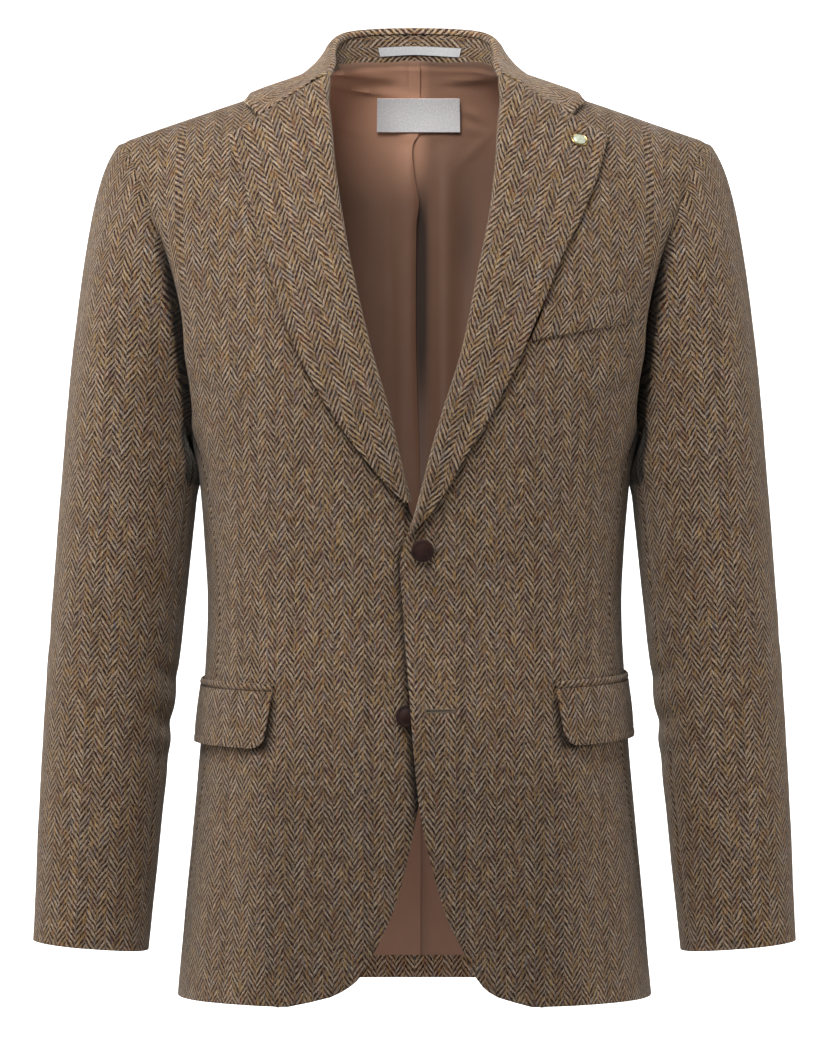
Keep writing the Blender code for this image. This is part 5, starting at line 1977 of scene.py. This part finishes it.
def herringbone_group():
    """Herringbone twill over a piece's flat lengths: light and dark yarns with flecks."""
    tree, n, ins, outs = group("herringbone", (
        ("Lengths", "NodeSocketVector", None),
        ("Zigzag", "NodeSocketFloat", STRIPE_SLOPE),
        ("Flecks", "NodeSocketFloat", FLECK_SHARE),
        ("Brightness", "NodeSocketFloat", 1.0),
    ), (("Color", "NodeSocketColor"), ("Height", "NodeSocketFloat")))
    flat = n.add("ShaderNodeVectorMath", {"operation": "SCALE"}, n0=ins.outputs["Lengths"],
                 Scale=1 / MM).outputs[0]
    u, v, _ = n.add("ShaderNodeSeparateXYZ", n0=flat).outputs
    sway = n.times(n.minus(n.grains(flat, 0.08, 1.0), 0.5), 3.4)
    shake = n.times(n.minus(n.grains(flat, 0.9, 1.0), 0.5), 1.5)
    v = n.plus(n.plus(v, sway), shake)
    ragged = n.times(n.minus(n.grains(flat, 0.6, 1.0), 0.5), 1.8)
    across = n.plus(u, ragged)
    zig = n.sum("PINGPONG", across, COLUMN)
    # the points of one column meet the gaps of the next
    odd = n.sum("FLOORED_MODULO", n.sum("FLOOR", n.over(across, COLUMN)), 2.0)
    zig = n.plus(zig, n.times(odd, STRIPE / 2 / STRIPE_SLOPE))
    slanted = n.plus(v, n.times(zig, ins.outputs["Zigzag"]))
    wave = n.sum("SINE", n.times(slanted, math.tau / STRIPE))
    # short strokes along the stripes, and slubs in the yarn
    lay_of = n.add("ShaderNodeCombineXYZ", X=n.times(u, 0.34),
                   Y=n.times(slanted, 0.95))
    strokes = n.minus(n.grains(lay_of.outputs[0], 1.0, 2.0, 0.7), 0.5)
    slub = n.minus(n.grains(flat, 1.2, 2.0, 0.6), 0.5)
    rough = n.plus(n.times(strokes, 3.4), n.times(slub, 1.9))
    stripe = n.between(n.plus(wave, rough), -0.95, 0.75)
    weft, _ = yarn_runs(n, slanted, u, 6.0)
    warp, taper = yarn_runs(n, u, v, 9.0)
    light = yarn_shades(n, weft[0], LIGHT_YARNS)
    dark = yarn_shades(n, warp[0], DARK_YARNS)
    base = n.blend(stripe, dark, light)
    chosen = n.times(n.between(warp[1], 0.70, 0.76), taper)
    chosen = n.times(chosen, ins.outputs["Flecks"])
    base = n.blend(chosen, base, yarn_shades(n, warp[2], FLECK_YARNS))
    fuzz = n.grains(flat, 3.2, 2.0, 0.7)
    mottle = n.grains(flat, 0.14, 2.0)
    value = n.plus(n.times(fuzz, 0.75), n.times(mottle, 0.3))
    value = n.plus(value, n.times(strokes, 1.1))
    band = n.add("ShaderNodeTexWhiteNoise", {"noise_dimensions": "1D"},
                 W=n.sum("FLOOR", n.over(across, COLUMN)))
    value = n.plus(value, n.times(n.minus(band.outputs[0], 0.5), 0.05))
    # painted light: every other column a little lighter, as the twill's slant catches the light
    # differently
    value = n.plus(value, n.times(odd, 0.035))
    value = n.between(value, 0.16, 0.90, 0.34, 1.72, smooth=False)
    value = n.times(value, ins.outputs["Brightness"])
    shade = n.add("ShaderNodeHueSaturation", Value=value, Color=base)
    n.put(outs.inputs["Color"], shade.outputs[0])
    height = n.plus(n.times(wave, 0.35), n.times(fuzz, 1.2))
    n.put(outs.inputs["Height"], n.plus(height, n.times(strokes, 1.2)))
    return tree


def finish_of(name, **settings):
    look = bpy.data.materials.new(name)
    look.use_nodes = True
    shader = look.node_tree.nodes["Principled BSDF"]
    for key, value in settings.items():
        shader.inputs[key.replace("_", " ")].default_value = value
    return look, Nodes(look.node_tree), shader


def roughen(n, shader, strength, depth, height):
    relief = n.add("ShaderNodeBump", Strength=strength, Distance=depth, Height=height)
    n.put(shader.inputs["Normal"], relief.outputs[0])


def tweed_look(name, zigzag=STRIPE_SLOPE, flecks=FLECK_SHARE, full=TWEED_BRIGHTNESS):
    look, n, shader = finish_of(name, Roughness=0.95, Specular_IOR_Level=0.2, Sheen_Weight=0.28,
                                Sheen_Roughness=0.3, Sheen_Tint=tone(238, 226, 210))
    cloth_map = n.add("ShaderNodeUVMap", {"uv_map": "UVMap"})
    # Painted shade: the cloth's painted shade darkens the twill from its full brightness
    painted_shade = n.add("ShaderNodeAttribute", {"attribute_name": "painted_shade"})
    bright = n.between(painted_shade.outputs["Fac"], 0.02, 0.5, full, 0.04)
    twill = n.add("ShaderNodeGroup", {"node_tree": HERRINGBONE}, Lengths=cloth_map,
                  Zigzag=zigzag, Flecks=flecks, Brightness=bright)
    n.put(shader.inputs["Base Color"], twill.outputs["Color"])
    roughen(n, shader, 0.6, 0.0007, twill.outputs["Height"])
    return look


def lining_look():
    look, n, shader = finish_of("lining_satin", Sheen_Weight=0.15, Sheen_Roughness=0.3,
                                Specular_IOR_Level=0.4)
    cloth_map = n.add("ShaderNodeUVMap", {"uv_map": "UVMap"})
    wide = n.add("ShaderNodeMapping", n0=cloth_map, Scale=(900.0, 2400.0, 1.0))
    thread = n.grains(wide.outputs[0], 1.0, 2.0)
    cloud = n.grains(cloth_map.outputs[0], 28.0, 2.0)
    shade = n.blend(cloud, tone(198, 146, 119), tone(214, 163, 134))
    shade = n.blend(n.between(thread, 0.3, 0.7, 0.0, 0.35), shade, tone(230, 182, 152))
    # Painted shade: darkens the satin where its points carry painted shade, leaving the top of the
    # lining light
    painted_shade = n.add("ShaderNodeAttribute", {"attribute_name": "painted_shade"})
    deep = n.between(painted_shade.outputs["Fac"], 0.0, 1.0, 1.0, 0.05, smooth=False)
    shaded = n.add("ShaderNodeHueSaturation", Value=deep, Color=shade)
    n.put(shader.inputs["Base Color"], shaded.outputs[0])
    n.put(shader.inputs["Roughness"], n.between(thread, 0.2, 0.8, 0.42, 0.54))
    roughen(n, shader, 0.25, 0.0001, thread)
    return look


def woven_look(name, depth):
    look, n, shader = finish_of(name, Roughness=0.55, Sheen_Weight=0.2)
    cloth_map = n.add("ShaderNodeUVMap", {"uv_map": "UVMap"})
    wide = n.add("ShaderNodeMapping", n0=cloth_map, Scale=(2600.0, 2600.0, 1.0))
    checks = n.add("ShaderNodeTexChecker", n0=wide.outputs[0], Scale=1.0)
    fuzz = n.grains(cloth_map.outputs[0], 700.0, 2.0)
    # depth below 1 darkens the white tones: painted shade
    light, dark = (tuple(part * depth for part in shade[:3]) + (1.0,)
                   for shade in (tone(236, 235, 236), tone(218, 217, 218)))
    n.put(shader.inputs["Base Color"], n.blend(n.between(fuzz, 0.3, 0.7), dark, light))
    roughen(n, shader, 0.3, 0.0001, n.plus(n.times(checks.outputs[1], 0.4), fuzz))
    return look


def plain_look(name, scale, detail, dark, light, rough=None, relief=0.0, broad=None, **settings):
    """A finish clouded between two tones. rough is its roughness in the clouds' troughs
    and on their tops, and broad is a wider scale for the tones alone."""
    look, n, shader = finish_of(name, **settings)
    spots = n.add("ShaderNodeTexCoord").outputs["Object"]
    grain = n.grains(spots, scale, detail)
    share = n.between(n.grains(spots, broad), 0.3, 0.7) if broad else grain
    n.put(shader.inputs["Base Color"], n.blend(share, tone(*dark), tone(*light)))
    if rough:
        n.put(shader.inputs["Roughness"], n.between(grain, 0.3, 0.7, *rough))
    if relief:
        roughen(n, shader, relief, 0.0002, grain)
    return look


def paper_look(name, glow):
    return plain_look(name, 2.0, 1.0, (208, 208, 208), (212, 212, 212), Roughness=0.9,
                      Specular_IOR_Level=0.1, Emission_Color=(1, 1, 1, 1), Emission_Strength=glow)


# The studio

FLOOR_Z = -0.98
# The paper in metres: its bend's start and radius, and its length before and after it
BEND_Y = 3.3
SWEEP_RADIUS = 1.2
FLOOR_RUN = 8.7
WALL_RUN = 3.5
SWEEP_HALF_WIDTH = 6.0
SWEEP_STEPS = 60
GLOW_FROM_Y = 1.85
BACKDROP_GLOW = 0.9
AIR_GLOW = 0.14
LENS = 114.29
CAMERA_PLACE = (0.0, -4.0, -0.355)
# Each lamp: its place, what it points at, its width and height in metres, and its watts
LAMPS = (
    ("key", (-0.45, -1.25, 0.9), (0, 0, 0.2), (0.9, 0.6), 31),
    ("top", (-0.05, -0.7, 1.35), (0, 0, 0), (0.8, 0.5), 13),
    ("fill_left", (-2.2, -0.5, 0.1), (-0.3, 0, -0.2), (1, 1.4), 30),
    ("fill_right", (2.2, -0.5, 0.1), (0.3, 0, -0.2), (1, 1.4), 25),
    ("back_wash", (0, 3, 2.4), (0, 4.2, -0.2), (4, 1), 90),
)


def studio():
    """Floor and backdrop in one sweep of white paper."""
    build = bmesh.new()
    bmesh.ops.create_grid(build, x_segments=2, y_segments=SWEEP_STEPS, size=1.0)
    bend = SWEEP_RADIUS * math.pi / 2
    for vert in build.verts:
        run = (vert.co.y + 1) / 2 * (FLOOR_RUN + bend + WALL_RUN)
        if run < FLOOR_RUN:
            y, z = BEND_Y - FLOOR_RUN + run, 0.0
        elif run < FLOOR_RUN + bend:
            turn = (run - FLOOR_RUN) / SWEEP_RADIUS
            y, z = BEND_Y + SWEEP_RADIUS * math.sin(turn), SWEEP_RADIUS * (1 - math.cos(turn))
        else:
            y, z = BEND_Y + SWEEP_RADIUS, SWEEP_RADIUS + run - FLOOR_RUN - bend
        vert.co = Vector((vert.co.x * SWEEP_HALF_WIDTH, y, FLOOR_Z + z))
    for face in build.faces:
        face.smooth = True
    sweep = piece_of("studio_sweep", build, (paper_look("floor_paper", 0.0),
                                             paper_look("backdrop_paper", BACKDROP_GLOW)))
    for face in sweep.data.polygons:
        face.material_index = int(face.center.y > GLOW_FROM_Y)


def lamp(name, spot, target, size, power_watts):
    data = bpy.data.lights.new(name, "AREA")
    data.shape = "RECTANGLE"
    data.size, data.size_y = size
    data.energy = power_watts
    light = bpy.data.objects.new(name, data)
    light.location = spot
    light.rotation_euler = (Vector(target) - Vector(spot)).to_track_quat("-Z", "Y").to_euler()
    bpy.context.collection.objects.link(light)


def lighting():
    world = bpy.data.worlds.new("studio_air")
    world.use_nodes = True
    sky = world.node_tree.nodes["Background"]
    sky.inputs["Color"].default_value = (1, 1, 1, 1)
    sky.inputs["Strength"].default_value = AIR_GLOW
    bpy.context.scene.world = world
    for settings in LAMPS:
        lamp(*settings)
    bpy.context.scene.view_settings.view_transform = "Standard"
    bpy.context.scene.view_settings.look = "None"


def camera():
    data = bpy.data.cameras.new("camera")
    data.sensor_fit = "VERTICAL"
    data.sensor_height = 24.0
    data.lens = LENS
    data.clip_end = 50.0
    eye = bpy.data.objects.new("camera", data)
    eye.location = CAMERA_PLACE
    eye.rotation_euler = (math.radians(90), 0, 0)
    bpy.context.collection.objects.link(eye)
    bpy.context.scene.camera = eye


HERRINGBONE = herringbone_group()
TWEED = tweed_look("tweed")
TWEED_ACROSS = tweed_look("lapel_tweed")
TWEED_ROPE = tweed_look("jet_tweed", zigzag=0.0)
# The collar's fall in a lighter copy of the tweed: painted light, as if lit from above
TWEED_COLLAR_PAINTED_LIGHT = tweed_look("collar_tweed_painted_light", full=0.74)
# The back's hem strip in a lighter copy of the tweed: painted light
TWEED_HEM_PAINTED_LIGHT = tweed_look("hem_tweed_painted_light", full=0.95)
LINING = lining_look()
WOVEN_WHITE = woven_look("white_label", 1.0)
# The hanger tape is the label's white darkened to 0.4: painted shade inside the neck
WOVEN_TAPE_PAINTED_SHADE = woven_look("white_tape_painted_shade", 0.4)
LEATHER = plain_look("button_leather", 900.0, 3.0, (26, 13, 11), (44, 25, 20), (0.42, 0.6),
                     relief=0.35, broad=160.0, Specular_IOR_Level=0.16)
BRASS = plain_look("pin_brass", 1400.0, 3.0, (132, 108, 66), (186, 162, 112), (0.22, 0.4),
                   Metallic=1.0)
PEARL = plain_look("pin_pearl", 380.0, 2.0, (134, 142, 122), (188, 192, 170), (0.16, 0.28),
                   Coat_Weight=0.5)
THREAD_LOOK = plain_look("buttonhole_thread", 1800.0, 2.0, (62, 50, 36), (98, 82, 60),
                         relief=0.4, Roughness=0.75, Sheen_Weight=0.2)
# A dark finish for the buttonhole's slit: painted shade
SHADE = plain_look("buttonhole_slit_painted_shade", 1500.0, 2.0, (18, 12, 10), (34, 25, 20), Roughness=0.95)
SHEETS = []

camera()
front_cloth("front_left", 1, LEFT_FRONT_EDGE)
front_cloth("front_right", -1, RIGHT_FRONT_EDGE)
left_mesh = bpy.data.objects["front_left_cloth"].data
LEFT_CLOTH = BVHTree.FromPolygons([vert.co for vert in left_mesh.vertices],
                                  [face.vertices for face in left_mesh.polygons])
for wearer_side, sign in (("left", 1), ("right", -1)):
    side_cloth("side_" + wearer_side, sign)
    back_cloth("back_" + wearer_side, sign)
    lining_cloth("back_lining_" + wearer_side, sign)
sleeve_cloths()
lapel_cloth("lapel_left", 1, LEFT_LAPEL)
lapel_cloth("lapel_right", -1, RIGHT_LAPEL)
fall_cloth()
stand_cloth()
tape_cloth()
label_cloth()
for pocket in POCKETS:
    pocket_cloths(*pocket)
welt_cloth()
fastenings()
for hole in BUTTONHOLES:
    buttonhole(*hole)
studio()
lighting()
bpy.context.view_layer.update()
for sheet in SHEETS:
    print("sheet", *sheet)
